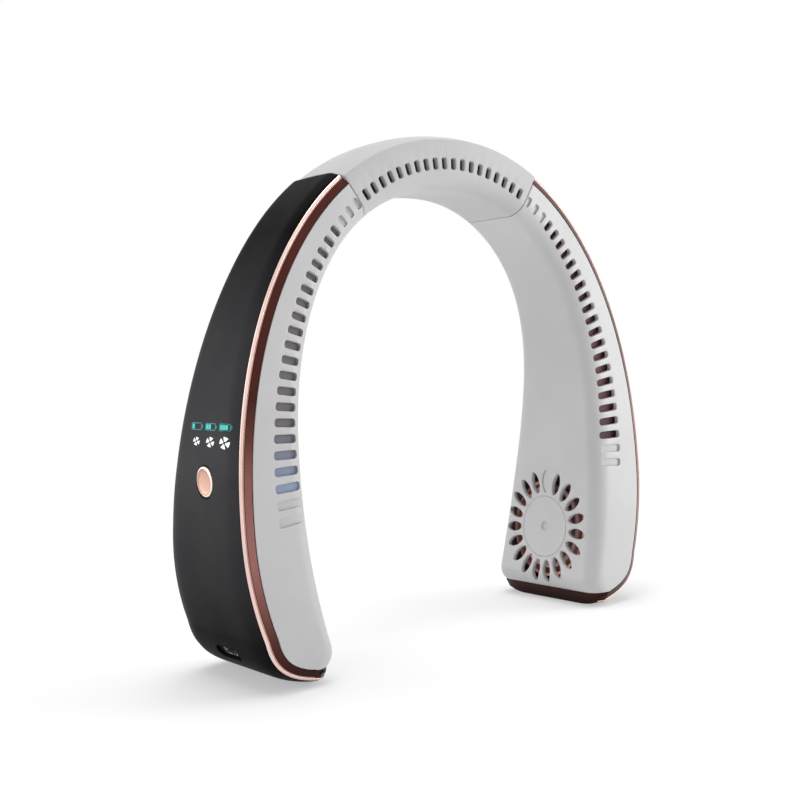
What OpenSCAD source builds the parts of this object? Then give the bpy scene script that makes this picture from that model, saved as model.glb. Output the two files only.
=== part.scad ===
// Bladeless neck fan: a slotted U that rests on the neck, with a small blower in the
// tip of each arm. It stands upright on both tips, with the slotted face towards -Y.
// +Z is up, +X is the right arm, and the origin lies midway between the two tips.

/* [Overall] */
// Width across both arms at their widest
overall_w = 195; // [185:1:210]
// Height from the standing tips to the top of the neck band
overall_h = 190; // [180:1:205]
// Depth of the arm tips, front to back
tip_depth = 60; // [56:1:66]
// Depth of the neck band, front to back
band_depth = 35; // [32:1:38]
// Thickness of each arm seen from the front, where it is widest
arm_thick = 28; // [26:0.5:31]
// Thickness of the neck band seen from the front, without its crown
band_thick = 18.5; // [17:0.5:20]
// How far the inner ends of the tips lean in under the neck opening
tip_lean = 2; // [0:0.5:5]

/* [Outline] */
// Height of the widest place of the outer outline, as a share of the height
wide_share = 0.29; // [0.27:0.005:0.31]
// Height of the widest place of the neck opening, as a share of the height
neck_wide_share = 0.379; // [0.36:0.005:0.4]
// How far the outer outline would reach below its widest place, as a share of the height
outer_drop_share = 0.558; // [0.53:0.005:0.6]
// How far the neck opening would reach below its widest place, as a share of the height
inner_drop_share = 0.716; // [0.68:0.005:0.75]
// Squareness of the outer outline, 2 is an ellipse
outer_curve_share = 2.12; // [2:0.02:2.3]
// Squareness of the neck opening, 2 is an ellipse
inner_curve_share = 2.27; // [2:0.01:2.4]
// Height at which the arms start to grow deeper, as a share of the height
flare_share = 0.826; // [0.79:0.005:0.86]
// Angle of the seams between neck band and arms, from the top
seam_deg = 27; // [26.6:0.1:27.4]

/* [Shells] */
// Wall of the arm shells
wall = 1.8; // [1.5:0.1:2.1]
// Radius of the soft edges along the neck opening
edge_r = 6.8; // [5.5:0.1:8]
// Radius of the outer edges of the neck band
band_edge_r = 2.2; // [1.6:0.1:2.8]
// Wall of the silicone sleeve on the neck band
sleeve_t = 1.8; // [1.5:0.1:2.1]
// Wall of the duct frame inside the neck band
core_t = 1.3; // [1:0.1:1.6]
// Thickness of the glossy outer panels
panel_t = 2; // [1.7:0.1:2.3]
// How far the outer panels and the band bulge at mid depth
crown = 2.4; // [1.8:0.1:3]
// Width of the metallic trim seen from the front
trim_w = 4.5; // [3.8:0.1:5.2]
// Thickness of the trim strips
trim_t = 1.6; // [1.4:0.1:1.9]
// Bevel along the outer edge of the trim
trim_bevel = 1.2; // [0.8:0.1:1.3]

/* [Air slots] */
// Open slots in each half of the neck band, beside the middle one
band_slots = 9; // [7:1:9]
// Shallow blind slots that carry the row over the seam
top_blind_slots = 3; // [1:1:3]
// Open slots in each arm
arm_slots = 19; // [15:1:19]
// Blind slots that end the row
end_blind_slots = 2; // [1:1:3]
// Distance from the neck opening to the slot row where it is widest
slot_row_in = 8.1; // [7.3:0.1:8.7]
// Distance from the top of the object to the middle slot
slot_row_drop = 11.5; // [10.8:0.1:12.2]
// Height at which the slot row is widest, as a share of the height
slot_row_share = 0.39; // [0.38:0.005:0.4]
// Angle of the last slot of the row, from the top
slot_end_deg = 98.6; // [97:0.1:100]
// Length of the slots in the band
slot_len = 4.3; // [3.8:0.1:4.8]
// Length of the last slots of the row
slot_end_len = 11.2; // [9.5:0.1:12]
// Width of the slots in the band
slot_w = 2.2; // [1.8:0.1:2.4]
// Width of the last slots of the row
slot_end_w = 3.1; // [2.6:0.1:3.4]
// Depth of the blind slots
blind_depth = 0.7; // [0.4:0.1:1]

/* [Blowers] */
// Diameter of the impeller, as a share of the tip depth
fan_share = 0.587; // [0.55:0.001:0.59]
// Depth of the blower axis behind the slotted face, as a share of the tip depth
fan_depth_share = 0.543; // [0.53:0.001:0.555]
// Height of the blower axis above the standing tips, as a share of the tip depth
fan_rise_share = 0.477; // [0.46:0.001:0.49]
// Blades of each impeller
blades = 17; // [11:1:19]
// Radius of the motor shaft
shaft_r = 1; // [0.8:0.1:1.2]
// Petals of each intake grille
petals = 19; // [15:1:20]
// Width of a petal
petal_w = 3; // [2.4:0.1:3.2]

/* [Controls] */
// Diameter of the power button
button_d = 11; // [10:0.1:12]
// Height of the power button, as a share of the height
button_share = 0.384; // [0.37:0.001:0.39]
// Depth of the power button behind the slotted face, as a share of the tip depth
button_depth_share = 0.372; // [0.35:0.001:0.39]
// Travel of the power button
button_travel = 0.4; // [0.3:0.05:0.5]
// Distance from the power button up to the row of speed lights
speed_icon_rise = 13.6; // [13:0.1:14.2]
// Distance between the two rows of lights
icon_row_step = 5.1; // [4.8:0.1:5.5]
// Distance between the lights of a row
icon_pitch = 9.4; // [9:0.1:9.8]
// Depth of the middle light behind the slotted face, as a share of the tip depth
icon_depth_share = 0.277; // [0.267:0.001:0.287]
// Length of the charging port recess
port_l = 15.5; // [14:0.1:17]

/* [Fits] */
// Gap between pieces that are fixed together
fit = 0.15; // [0.1:0.01:0.2]
// Gap between the arms and the silicone sleeve
seam_gap = 0.3; // [0.2:0.05:0.4]
// Radial gap of the shaft in its bearing
bearing_gap = 0.03; // [0.02:0.01:0.06]
// Gap around the power button
button_gap = 0.25; // [0.2:0.01:0.35]

/* [Hidden] */

shell_grey = "#bfbcba";
sleeve_grey = "#c6c6c6";
rose_gold = "#c9938a";
panel_black = "#2b2b2e";
inner_black = "#1d1d20";
steel = "#b4b8bc";
over = 2 * panel_t;                 // overrun of every cut
front_y = -tip_depth / 2;           // the slotted face
round_fn = 32;
fine_fn = 64;

// Outline of the U in the front view, as [x, z]

foot_z = crown;
outer_half = overall_w / 2 - crown;
outer_top = overall_h - crown;
inner_half = overall_w / 2 - arm_thick;
inner_top = outer_top - band_thick;
wide_z = wide_share * overall_h;
neck_wide_z = neck_wide_share * overall_h;
outer_drop = outer_drop_share * overall_h;
inner_drop = inner_drop_share * overall_h;
flare_z = flare_share * overall_h;
toe_x = inner_half - tip_lean;
toe_h = 1.1 * crown;
tip_deg = 110;
inner_lead_deg = 7.5;
corner_shares = [[1, 1], [0.914, 0.4], [0.68, 0.11], [0, -0.03]];
toe_shares = [[1, 1], [1.1, 0.65], [0.95, 0.26], [0, 0]];
flat_share = 0.5;
crown_curve_share = 2.2;
step_share = 0.004;

function unit(p) = p / norm(p);
function bezier(p, k) =
    pow(1 - k, 3) * p[0] + 3 * k * pow(1 - k, 2) * p[1] + 3 * k * k * (1 - k) * p[2] + pow(k, 3) * p[3];
function oval(half, top, mid, drop, square, deg) = deg <= 90
    ? [half * pow(sin(deg), 2 / square), mid + (top - mid) * pow(cos(deg), 2 / square)]
    : [half * sin(deg), mid + drop * cos(deg)];
function oval_x(half, top, mid, drop, square, z) = z >= mid
    ? half * pow(1 - pow((z - mid) / (top - mid), square), 1 / square)
    : half * sqrt(1 - pow((mid - z) / drop, 2));
function outer_arc(deg) = oval(outer_half, outer_top, wide_z, outer_drop, outer_curve_share, deg);
function inner_arc(deg) = oval(inner_half, inner_top, neck_wide_z, inner_drop, inner_curve_share, deg);
function outer_x(z) = oval_x(outer_half, outer_top, wide_z, outer_drop, outer_curve_share, z);
function inner_x(z) = oval_x(inner_half, inner_top, neck_wide_z, inner_drop, inner_curve_share, z);
function lead(deg) = deg + inner_lead_deg * pow(sin(deg), 3);

// A corner curve runs from start to stop by a table of shares of the step between them
function corner(start, stop, shares, k) = bezier(
    [for (s = shares) [stop.x + s[0] * (start.x - stop.x), stop.y + s[1] * (start.y - stop.y)]], k);
function outer_right(u) = u <= 1 ? outer_arc(u * tip_deg)
    : let (p = corner(outer_arc(tip_deg), [toe_x, foot_z], corner_shares, u - 1)) [p.x, max(p.y, foot_z)];
function inner_right(u) = u <= 1 ? inner_arc(lead(u * tip_deg))
    : corner(inner_arc(lead(tip_deg)), [toe_x - toe_h / 2, foot_z + toe_h], toe_shares, u - 1);
function share_at(z) = let (deg = acos((z - neck_wide_z) / inner_drop))
    (deg - inner_lead_deg * pow(sin(deg), 3)) / tip_deg;
function both_sides(p, u) = [u < 0 ? -p.x : p.x, p.y];
function outer_at(u) = both_sides(outer_right(abs(u)), u);
function inner_at(u) = both_sides(inner_right(abs(u)), u);

// Outward normal of the outer outline
function outer_normal(u) =
    let (t = unit(outer_at(min(2, u + step_share)) - outer_at(u - step_share))) [-t.y, t.x];
function depth_at(z) = let (k = min(1, max(0, (flare_z - z) / (flare_z - foot_z))))
    band_depth + (tip_depth - band_depth) * k * k * (3 - 2 * k);
function depth(u) = depth_at((outer_at(u).y + inner_at(u).y) / 2);
function thick(u) = norm(outer_at(u) - inner_at(u));
function rise(u) = (outer_at(u) - inner_at(u)) * outer_normal(u);
function bulge(u, y) =
    crown * (1 - pow(max(0, (abs(2 * y / depth(u) - 1) - flat_share) / (1 - flat_share)), crown_curve_share));

// A point of section u, y behind the slotted face: v out from the neck side, or w above the outer side
function trim_in(u) = min(trim_w, 0.75 * rise(u));
function trim_edge(u) = outer_at(u) - trim_in(u) * outer_normal(u);
function from_neck(u, y, v) =
    let (i = inner_at(u), p = i + v * unit(trim_edge(u) - i)) [p.x, front_y + y, p.y];
function from_outer(u, y, w) = let (p = outer_at(u) + w * outer_normal(u)) [p.x, front_y + y, p.y];
function spread(a, b, n) = [for (i = [0:n]) a + (b - a) * i / n];
function backwards(list) = [for (i = [len(list) - 1:-1:0]) list[i]];

// Stations along the U: 0 is the middle of the band, 1 starts the tip, 2 ends it
seam_share = seam_deg / tip_deg;
seam_len = norm(outer_at(seam_share + step_share) - outer_at(seam_share - step_share)) / (2 * step_share);
arm_share = seam_share + seam_gap / seam_len;
shell_end_share = 1.8;
end_gap_share = 0.03;
tip_mid_share = 1.86;
tip_late_share = 1.905;
panel_end_share = 1.93;
foot_share = 1.945;
band_stations = spread(-seam_share, seam_share, 14);
long_stations = concat(spread(arm_share, 1, 13), spread(1.11, 1.66, 5));
shell_stations = concat(long_stations, [shell_end_share - end_gap_share]);

// Skin between two rows of points at each station, closed by quads between the rows
module strip_loft(us, section) {
    rings = [for (u = us) let (s = section(u)) concat(s[0], backwards(s[1]))];
    n = len(rings[0]);
    m = len(us);
    sides = [for (j = [0:m - 2], i = [0:n - 1]) let (a = j * n + i, b = j * n + (i + 1) % n)
        each [[a, b, b + n], [a, b + n, a + n]]];
    caps = [for (j = [0, m - 1], i = [0:n / 2 - 2])
        let (a = j * n + i, b = a + 1, c = j * n + n - 2 - i, d = c + 1)
        each j == 0 ? [[a, d, c], [a, c, b]] : [[a, b, c], [a, c, d]]];
    polyhedron([for (r = rings) each r], [for (f = concat(sides, caps)) [f[2], f[1], f[0]]]);
}

// Open tube between an outer and an inner ring at each station
module tube_loft(us, section) {
    rings = [for (u = us) let (s = section(u)) concat(s[0], s[1])];
    k = len(rings[0]) / 2;
    n = 2 * k;
    m = len(us);
    sides = [for (j = [0:m - 2], i = [0:k - 1]) let (a = j * n + i, b = j * n + (i + 1) % k)
        each [[a, b, b + n], [a, b + n, a + n], [a + k, b + k + n, b + k], [a + k, a + k + n, b + k + n]]];
    caps = [for (j = [0, m - 1], i = [0:k - 1]) let (a = j * n + i, b = j * n + (i + 1) % k)
        each j == 0 ? [[a, a + k, b + k], [a, b + k, b]] : [[a, b, b + k], [a, b + k, a + k]]];
    polyhedron([for (r = rings) each r], [for (f = concat(sides, caps)) [f[2], f[1], f[0]]]);
}

// Solid along convex rings
module solid_loft(rings) {
    n = len(rings[0]);
    m = len(rings);
    sides = [for (j = [0:m - 2], i = [0:n - 1]) let (a = j * n + i, b = j * n + (i + 1) % n)
        each [[a, b, b + n], [a, b + n, a + n]]];
    caps = [[for (i = [n - 1:-1:0]) i], [for (i = [0:n - 1]) (m - 1) * n + i]];
    polyhedron([for (r = rings) each r], [for (f = concat(sides, caps)) backwards(f)]);
}

// Ring of the neck band, inset all round, with its own radius along the outer edges
band_top_points = 6;
function band_corner(inset) = max(band_edge_r - inset, band_edge_r / 3);
function band_ring(u, inset, corner_r) = let (
    d = depth(u),
    ri = edge_r - inset,
    q = inset + corner_r)
    concat(
        [for (a = [0, 45]) from_outer(u, q - corner_r * cos(a), -q + corner_r * sin(a))],
        [for (y = spread(q, d - q, band_top_points)) from_outer(u, y, bulge(u, y) * (d - 2 * q) / d - inset)],
        [for (a = [45, 0]) from_outer(u, d - q + corner_r * cos(a), -q + corner_r * sin(a))],
        [for (a = [0:30:90]) from_neck(u, d - edge_r + ri * cos(a), edge_r - ri * sin(a))],
        [for (a = [90:-30:0]) from_neck(u, edge_r - ri * cos(a), edge_r - ri * sin(a))]);

// Slot row: an oval measured along its length

slot_row_half = inner_half + slot_row_in;
slot_row_top = overall_h - slot_row_drop;
slot_row_z = slot_row_share * overall_h;
slot_row_curve_share = 2.06;
slot_fan_deg = 112;
slot_growth_share = 1.6;
slot_lip = 0.2;
function slot_arc(deg) =
    oval(slot_row_half, slot_row_top, slot_row_z, slot_row_top - slot_row_z, slot_row_curve_share, deg);
slot_degs = [for (d = [0:2:slot_fan_deg]) d];
function run_sum(list, i) = i == 0 ? 0 : run_sum(list, i - 1) + list[i - 1];
slot_steps = [for (i = [1:len(slot_degs) - 1]) norm(slot_arc(slot_degs[i]) - slot_arc(slot_degs[i - 1]))];
slot_lengths = [for (i = [0:len(slot_degs) - 1]) [run_sum(slot_steps, i), slot_degs[i]]];
seam_line = outer_at(seam_share) - inner_at(seam_share);
function past_seam(p) = (p - inner_at(seam_share)) * [seam_line.y, -seam_line.x];
seam_run = lookup(0, [for (s = slot_lengths) [past_seam(slot_arc(s[1])), s[0]]]);
row_run = lookup(slot_end_deg, [for (s = slot_lengths) [s[1], s[0]]]);
slot_pitch = seam_run / (band_slots + 0.9);
arm_slot_pitch = 1.04 * slot_pitch;
last_arm_slot = top_blind_slots + arm_slots + end_blind_slots - 1;
first_arm_run = seam_run + seam_gap + slot_lip + slot_w / 2;
function arm_slot_at(j) = first_arm_run + arm_slot_pitch * j
    + (row_run - first_arm_run - arm_slot_pitch * last_arm_slot) * pow(j / last_arm_slot, 2);

function round_end(l, w, from) =
    [for (a = [from:30:from + 180]) [(l - w) / 2 * (from < 0 ? 1 : -1), 0] + w / 2 * [cos(a), sin(a)]];
module stadium(l, w) { polygon(concat(round_end(l, w, -90), round_end(l, w, 90))); }

// One slot cutter at a length along the row
module slot_cut(run, l, w, deep) {
    deg = lookup(run, slot_lengths);
    c = slot_arc(deg);
    t = deg > 1 ? slot_arc(deg + 1) - slot_arc(deg - 1) : [1, 0];
    translate([c.x, front_y + deep, c.y]) rotate([90, 0, 0])
        linear_extrude(deep + over) rotate(atan2(t.x, -t.y)) stadium(l, w);
}

module band_slot_cuts(deep) {
    for (i = [-band_slots:band_slots]) mirror([i < 0 ? 1 : 0, 0, 0])
        slot_cut(abs(i) * slot_pitch, slot_len, slot_w, deep);
}

module arm_slot_cuts() {
    for (j = [0:last_arm_slot]) {
        k = j / last_arm_slot;
        blind = j < top_blind_slots || j >= top_blind_slots + arm_slots;
        slot_cut(arm_slot_at(j), slot_len + (slot_end_len - slot_len) * pow(k, slot_growth_share),
            slot_w + (slot_end_w - slot_w) * k, blind ? blind_depth : wall + over);
    }
}

// Blower frame: origin on the neck side of the arm, +Z along the blower axis towards the panel

fan_r = fan_share * tip_depth / 2;
fan_z = foot_z + fan_rise_share * tip_depth;
fan_tilt = atan2(inner_x(fan_z + edge_r) - inner_x(fan_z - edge_r), 2 * edge_r);
fan_x = inner_x(fan_z);
fan_depth = fan_depth_share * tip_depth;
fan_y = front_y + fan_depth;
rib_t = 1.2;
run_gap = 0.6;                      // room beside everything that turns
fan_in = 2.2 * wall;
scroll_gap = 1;
scroll_swell = 2.4;
scroll_deg = 300;
plate_t = 1.4;
blower_room = 11.6;                 // room behind the blower for the socket, board and panel
plate_z = arm_thick - blower_room - plate_t;
fan_h = plate_z - scroll_gap - fan_in;
hub_r = 0.56 * fan_r;
hub_in = 0.5 * fan_r;
hub_top = fan_in + 0.24 * fan_h;
magnet_t = 0.7;
air_gap = 0.5;
stator_r = hub_in - magnet_t - air_gap;
screw_r = 0.8;
screw_head_r = 1.8;
screw_l = 6.5;
post_r = 2.3;
post_degs = [-52, 48, 152];
scroll_r0 = fan_r + scroll_gap;
function scroll_r(a) = scroll_r0 + scroll_swell * a / scroll_deg;
petal_ring_r = fan_r + wall;
petal_len = fan_r / 2;
function post_spot(a) = (scroll_r(180 - a) + rib_t + post_r + 2 * fit) * [cos(a), sin(a)];
module at_blower() { translate([fan_x, fan_y, fan_z]) rotate([0, 90 + fan_tilt, 0]) children(); }

// Leaf with pointed ends, along X: two arcs that swell from nothing to half the width
module leaf(l, w) {
    ks = [-0.5, -0.3, 0, 0.3, 0.5];
    polygon(concat(
        [for (k = ks) [k * l, w / 2 * (1 - 4 * k * k)]],
        [for (k = [0.3, 0, -0.3]) [k * l, -w / 2 * (1 - 4 * k * k)]]));
}

// Outer rows of the arm shell, from the front rebate round the neck side to the back one
crown_shares = [0.06, 0.13, 0.25, 0.75, 0.87, 0.94];
function crown_ys(edge, d) = concat([edge], crown_shares * d, [d - edge]);
function shell_section(u) = let (
    d = depth(u),
    t = trim_in(u) + fit,
    y1 = trim_t + fit,
    lip = y1 + rib_t,
    room = norm(trim_edge(u) - inner_at(u)) - fit,
    r = min(edge_r, 0.95 * room),
    ri = r - wall,
    seat = panel_t + fit,
    foot = t + rib_t / 2 * min(1, room / edge_r))
    [concat(
        [from_outer(u, y1, -seat), from_outer(u, y1, -t), from_outer(u, 0, -t)],
        [for (a = [0:18:90]) from_neck(u, r - r * cos(a), r - r * sin(a))],
        [for (a = [90:-18:0]) from_neck(u, d - r + r * cos(a), r - r * sin(a))],
        [from_outer(u, d, -t), from_outer(u, d - y1, -t), from_outer(u, d - y1, -seat)]),
    concat(
        [from_outer(u, lip, -seat), from_outer(u, lip, -t - fit), from_outer(u, wall, -foot)],
        [for (a = [0:18:90]) from_neck(u, r - ri * cos(a), r - ri * sin(a))],
        [for (a = [90:-18:0]) from_neck(u, d - r + ri * cos(a), r - ri * sin(a))],
        [from_outer(u, d - wall, -foot), from_outer(u, d - lip, -t - fit), from_outer(u, d - lip, -seat)])];

module arm_shell() {
    difference() {
        union() {
            strip_loft(shell_stations, function(u) shell_section(u));
            at_blower() for (a = post_degs)
                translate(concat(post_spot(a), wall / 4))
                    cylinder(r = post_r, h = plate_z - wall / 4 - fit, $fn = round_fn);
        }
        arm_slot_cuts();
        at_blower() {
            for (i = [0:petals - 2]) rotate(180 + (i + 1) * 360 / petals)
                translate([petal_ring_r, 0, -over]) linear_extrude(over + 2 * wall) leaf(petal_len, petal_w);
            rotate(180) translate([petal_ring_r, 0, -over])
                linear_extrude(over + blind_depth) leaf(petal_len, petal_w);
            translate([0, 0, -over]) cylinder(r = shaft_r, h = over + blind_depth, $fn = round_fn);
            for (a = post_degs) translate(concat(post_spot(a), plate_z + plate_t - screw_l - fit))
                cylinder(r = screw_r + fit / 3, h = screw_l, $fn = round_fn);
        }
    }
}

// Trim: a crowned band over the whole arm, with the window and the seat of the panel taken out
function soft_edge(r, y) = y < r ? r - sqrt(r * r - pow(r - y, 2)) : 0;
function trim_band(u) = let (
    d = depth(u),
    r = min(2 * trim_bevel, thick(u) / 2),
    ys = concat([0], crown_ys(trim_bevel, d), [d]),
    n = len(ys) - 1,
    whole = u > shell_end_share)
    [[for (y = ys) whole ? from_neck(u, y, soft_edge(r, min(y, d - y))) : from_outer(u, y, -trim_in(u))],
        [for (i = [0:n]) from_outer(u, ys[i], i == 0 || i == n ? -trim_bevel : bulge(u, ys[i]))]];
function trim_window(u) = let (ys = crown_ys(trim_t, depth(u)), whole = u > shell_end_share + step_share)
    [[for (y = ys) from_outer(u, y, whole ? bulge(u, y) - panel_t - fit : -trim_w - over)],
        [for (y = ys) from_outer(u, y, crown + over)]];
module trim_frame() {
    band_shares = concat(
        long_stations,
        [shell_end_share, shell_end_share + step_share, tip_mid_share - step_share],
        [tip_late_share, foot_share, 2]);
    window_shares = concat(
        [arm_share - step_share],
        [for (u = concat(long_stations, [shell_end_share])) u + step_share / 3],
        [shell_end_share + 1.5 * step_share, tip_mid_share, panel_end_share]);
    difference() {
        strip_loft(band_shares, function(u) trim_band(u));
        strip_loft(window_shares, function(u) trim_window(u));
    }
}

function panel_section(u) = let (ys = crown_ys(trim_t + fit, depth(u)))
    [[for (y = ys) from_outer(u, y, bulge(u, y) - panel_t)], [for (y = ys) from_outer(u, y, bulge(u, y))]];
panel_stations = concat(long_stations, [shell_end_share, tip_mid_share, panel_end_share - step_share]);
module outer_panel() { strip_loft(panel_stations, function(u) panel_section(u)); }

// Seam collar: the plug of each arm that the sleeve grips

collar_in = 3.2;
collar_out = 6;
collar_inset = max(wall, sleeve_t, panel_t) + fit;
collar_t = 1.2;
core_clear = 2.6;
collar_stations = spread(seam_share - collar_in / seam_len, arm_share + collar_out / seam_len, 3);
module seam_collar() {
    tube_loft(collar_stations, function(u) [
        band_ring(u, collar_inset, edge_r),
        band_ring(u, collar_inset + collar_t, edge_r - collar_t)]);
}

// Partition that keeps the air at the front of the arm; its foot bends back to the scroll

partition_y = 0.7 * band_depth;
partition_end_z = fan_z + 1.5 * fan_r;
partition_end_share = share_at(partition_end_z);
partition_foot_share = share_at(fan_z + 1.15 * fan_r);
partition_stations = spread(collar_stations[3] + step_share, partition_end_share, 9);
board_room = 8.5;
function partition_ring(u, y) = [
    from_neck(u, y, wall + 2 * fit),
    from_neck(u, y + rib_t, wall + 2 * fit),
    from_neck(u, y + rib_t, thick(u) - board_room),
    from_neck(u, y, thick(u) - board_room)];
module duct_partition() {
    solid_loft(concat(
        [for (u = partition_stations) partition_ring(u, partition_y)],
        [partition_ring(partition_foot_share, fan_depth - rib_t)]));
}

// Scroll that gathers the air, with its outlet up towards the slots

throat_l = scroll_r0 / 2 + scroll_gap;
scroll_degs = [for (a = [0:12:scroll_deg]) a];
scroll_end = scroll_r(scroll_deg) * [-cos(scroll_deg), sin(scroll_deg)];
function scroll_edge(t) = [for (a = scroll_degs) (scroll_r(a) + t) * [-cos(a), sin(a)]];
module throat(w) {
    translate([scroll_end.x - throat_l, scroll_end.y - rib_t]) square([throat_l + rib_t / 2, w]);
}

module volute() {
    difference() {
        union() {
            translate([0, 0, fan_in]) linear_extrude(plate_z - fan_in + plate_t / 2) {
                polygon(concat(scroll_edge(rib_t), backwards(scroll_edge(0))));
                throat(rib_t);
            }
            translate([0, 0, plate_z]) linear_extrude(plate_t) {
                circle(r = scroll_r0 + rib_t, $fn = fine_fn);
                polygon(scroll_edge(rib_t));
                throat(-scroll_end.y);
                for (a = post_degs) rotate(a) translate([scroll_r0, -post_r])
                    square([norm(post_spot(a)) - scroll_r0, 2 * post_r]);
                for (a = post_degs) translate(post_spot(a)) circle(r = post_r, $fn = round_fn);
            }
        }
        for (a = post_degs) translate(concat(post_spot(a), plate_z - over))
            cylinder(r = screw_r + fit, h = plate_t + 2 * over, $fn = round_fn);
    }
}

// Screw with its head above the origin and its shank below
module screw() {
    translate([0, 0, -screw_l]) cylinder(r = screw_r, h = screw_l, $fn = round_fn);
    difference() {
        cylinder(r = screw_head_r, h = screw_r * 1.5, $fn = round_fn);
        translate([0, 0, screw_r]) cylinder(r = screw_r, h = over, $fn = 6);
    }
}

module blower_screws() {
    for (a = post_degs) translate(concat(post_spot(a), plate_z + plate_t + fit / 3)) screw();
}

// Motor: the stator and its bearing tube stand on the volute plate, inside the hub

magnet_poles = 6;
module winding_gap() {
    polygon([[2.8 * shaft_r, -rib_t / 3], [2.8 * shaft_r, rib_t / 3], [stator_r - rib_t, stator_r / 3.6],
        [stator_r - rib_t, rib_t / 3], [2 * stator_r, rib_t / 3], [2 * stator_r, -rib_t / 3],
        [stator_r - rib_t, -rib_t / 3], [stator_r - rib_t, -stator_r / 3.6]]);
}

module motor_stator() {
    low = hub_top + rib_t + run_gap;
    base_z = plate_z - fit / 3 - rib_t;
    difference() {
        union() {
            translate([0, 0, low]) cylinder(r = 2.2 * shaft_r, h = base_z - low + rib_t / 2, $fn = round_fn);
            translate([0, 0, low + rib_t]) linear_extrude(base_z - low - rib_t / 2) difference() {
                circle(r = stator_r, $fn = fine_fn);
                for (i = [0:magnet_poles - 1]) rotate(i * 360 / magnet_poles) winding_gap();
            }
            translate([0, 0, base_z]) cylinder(r = stator_r - rib_t / 2, h = rib_t, $fn = fine_fn);
        }
        translate([0, 0, low - over]) cylinder(r = shaft_r + bearing_gap, h = plate_z + over, $fn = round_fn);
    }
}

module impeller() {
    back = fan_in + fan_h;
    low = fan_in + run_gap;
    difference() {
        union() {
            translate([0, 0, hub_top]) cylinder(r = hub_r, h = back - hub_top, $fn = fine_fn);
            translate([0, 0, back - rib_t]) cylinder(r = fan_r, h = rib_t, $fn = fine_fn);
            translate([0, 0, low]) difference() {
                cylinder(r = fan_r, h = rib_t, $fn = fine_fn);
                translate([0, 0, -over])
                    cylinder(r = fan_r - 1.6 * rib_t, h = rib_t + 2 * over, $fn = fine_fn);
            }
            translate([0, 0, low]) linear_extrude(back - rib_t / 2 - low)
                for (i = [0:blades - 1]) rotate((i + 0.4) * 360 / blades) blade_outline();
        }
        translate([0, 0, hub_top + rib_t]) cylinder(r = hub_in, h = fan_h, $fn = fine_fn);
        translate([0, 0, hub_top - over]) cylinder(r = shaft_r + fit / 10, h = fan_h, $fn = round_fn);
    }
}

// Curved blade from the hub to the rim: its angle grows with the radius
blade_t = 0.8;
blade_sweep_deg = 38;
function blade_edge(side) = [for (k = [0:0.25:1]) let (
    r = (hub_r - rib_t / 2) * (1 - k) + (fan_r - fit) * k,
    a = blade_sweep_deg * pow(k, 1.4) + side * blade_t / (2 * r) * 180 / PI)
    r * [cos(a), sin(a)]];
module blade_outline() { polygon(concat(blade_edge(-1), backwards(blade_edge(1)))); }

module rotor_magnet() {
    low = hub_top + rib_t + fit;
    translate([0, 0, low]) difference() {
        cylinder(r = hub_in - fit / 5, h = fan_h / 2, $fn = fine_fn);
        translate([0, 0, -over]) cylinder(r = hub_in - magnet_t, h = fan_h + over, $fn = fine_fn);
    }
}

module motor_shaft() {
    translate([0, 0, hub_top + fit]) cylinder(r = shaft_r, h = plate_z - hub_top - 2 * fit, $fn = round_fn);
}

// Pouch cell behind the partition

cell_z = partition_end_z + run_gap;
cell_l = 0.21 * overall_h;
cell_t = arm_thick - board_room - 5.5 * wall;
cell_gap = 2.2;
module battery() {
    low_x = inner_x(neck_wide_z) + wall + fit;
    low_y = front_y + partition_y + rib_t + fit;
    deep = depth_at(cell_z + cell_l) - partition_y - rib_t - wall - 2.5 * fit - cell_gap;
    difference() {
        translate([low_x, low_y, cell_z]) cube([cell_t, deep, cell_l]);
        for (s = [0, 1]) translate([low_x - over, low_y - over, cell_z + s * cell_l - rib_t / 2])
            cube([cell_t + 2 * over, over + rib_t / 2, rib_t]);
    }
}

// Board of the left arm, drawn on the right like every other arm piece

button_y = front_y + button_depth_share * tip_depth;
button_z = button_share * overall_h;
icon_y = front_y + icon_depth_share * tip_depth;
speed_icon_z = button_z + speed_icon_rise;
battery_icon_z = speed_icon_z + icon_row_step;
panel_x = outer_x(button_z) + crown;
board_t = 1.2;
guide_t = 2.4;
icon_l = 4.6;
icon_h = 2.7;
board_margin = 5;
board_y = front_y + wall + band_edge_r;
board_w = 0.73 * depth_at(button_z);
board_z = button_z - button_d;
board_top = battery_icon_z + icon_h / 2 + board_margin;
board_x = outer_x(board_top) + crown - panel_t - guide_t - 2 * fit;
switch_s = 6;
switch_h = 2.6;
plunger_r = 1.6;
plunger_h = 0.7;
flange_lip = 0.9;
flange_r = button_d / 2 + flange_lip;
flange_t = 0.8;
button_rise = 0.35;
icon_recess = 0.35;
speed_icon_sizes = [0.55, 0.75, 0.95];

// Places the screws of the board, with +Z towards the panel
module at_board_screws() {
    for (y = [screw_head_r + run_gap, board_w - screw_head_r - run_gap])
        translate([board_x, board_y + y, board_z + 2 * screw_head_r]) rotate([0, 90, 0]) children();
}

module control_board_part() {
    difference() {
        translate([board_x - board_t, board_y, board_z]) cube([board_t, board_w, board_top - board_z]);
        at_board_screws() translate([0, 0, -over]) cylinder(r = screw_r + fit, h = 2 * over, $fn = round_fn);
    }
}

// Posts on the inside of the left panel that hold the board
module board_posts() {
    post_l = panel_x - panel_t / 2 - board_x;
    at_board_screws() difference() {
        translate([0, 0, fit / 3]) cylinder(r = screw_head_r, h = post_l, $fn = round_fn);
        cylinder(r = screw_r + fit / 3, h = post_l - panel_t / 4, $fn = round_fn);
    }
}

module board_screws_part() {
    at_board_screws() translate([0, 0, -board_t - fit / 3]) mirror([0, 0, 1]) screw();
}

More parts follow.
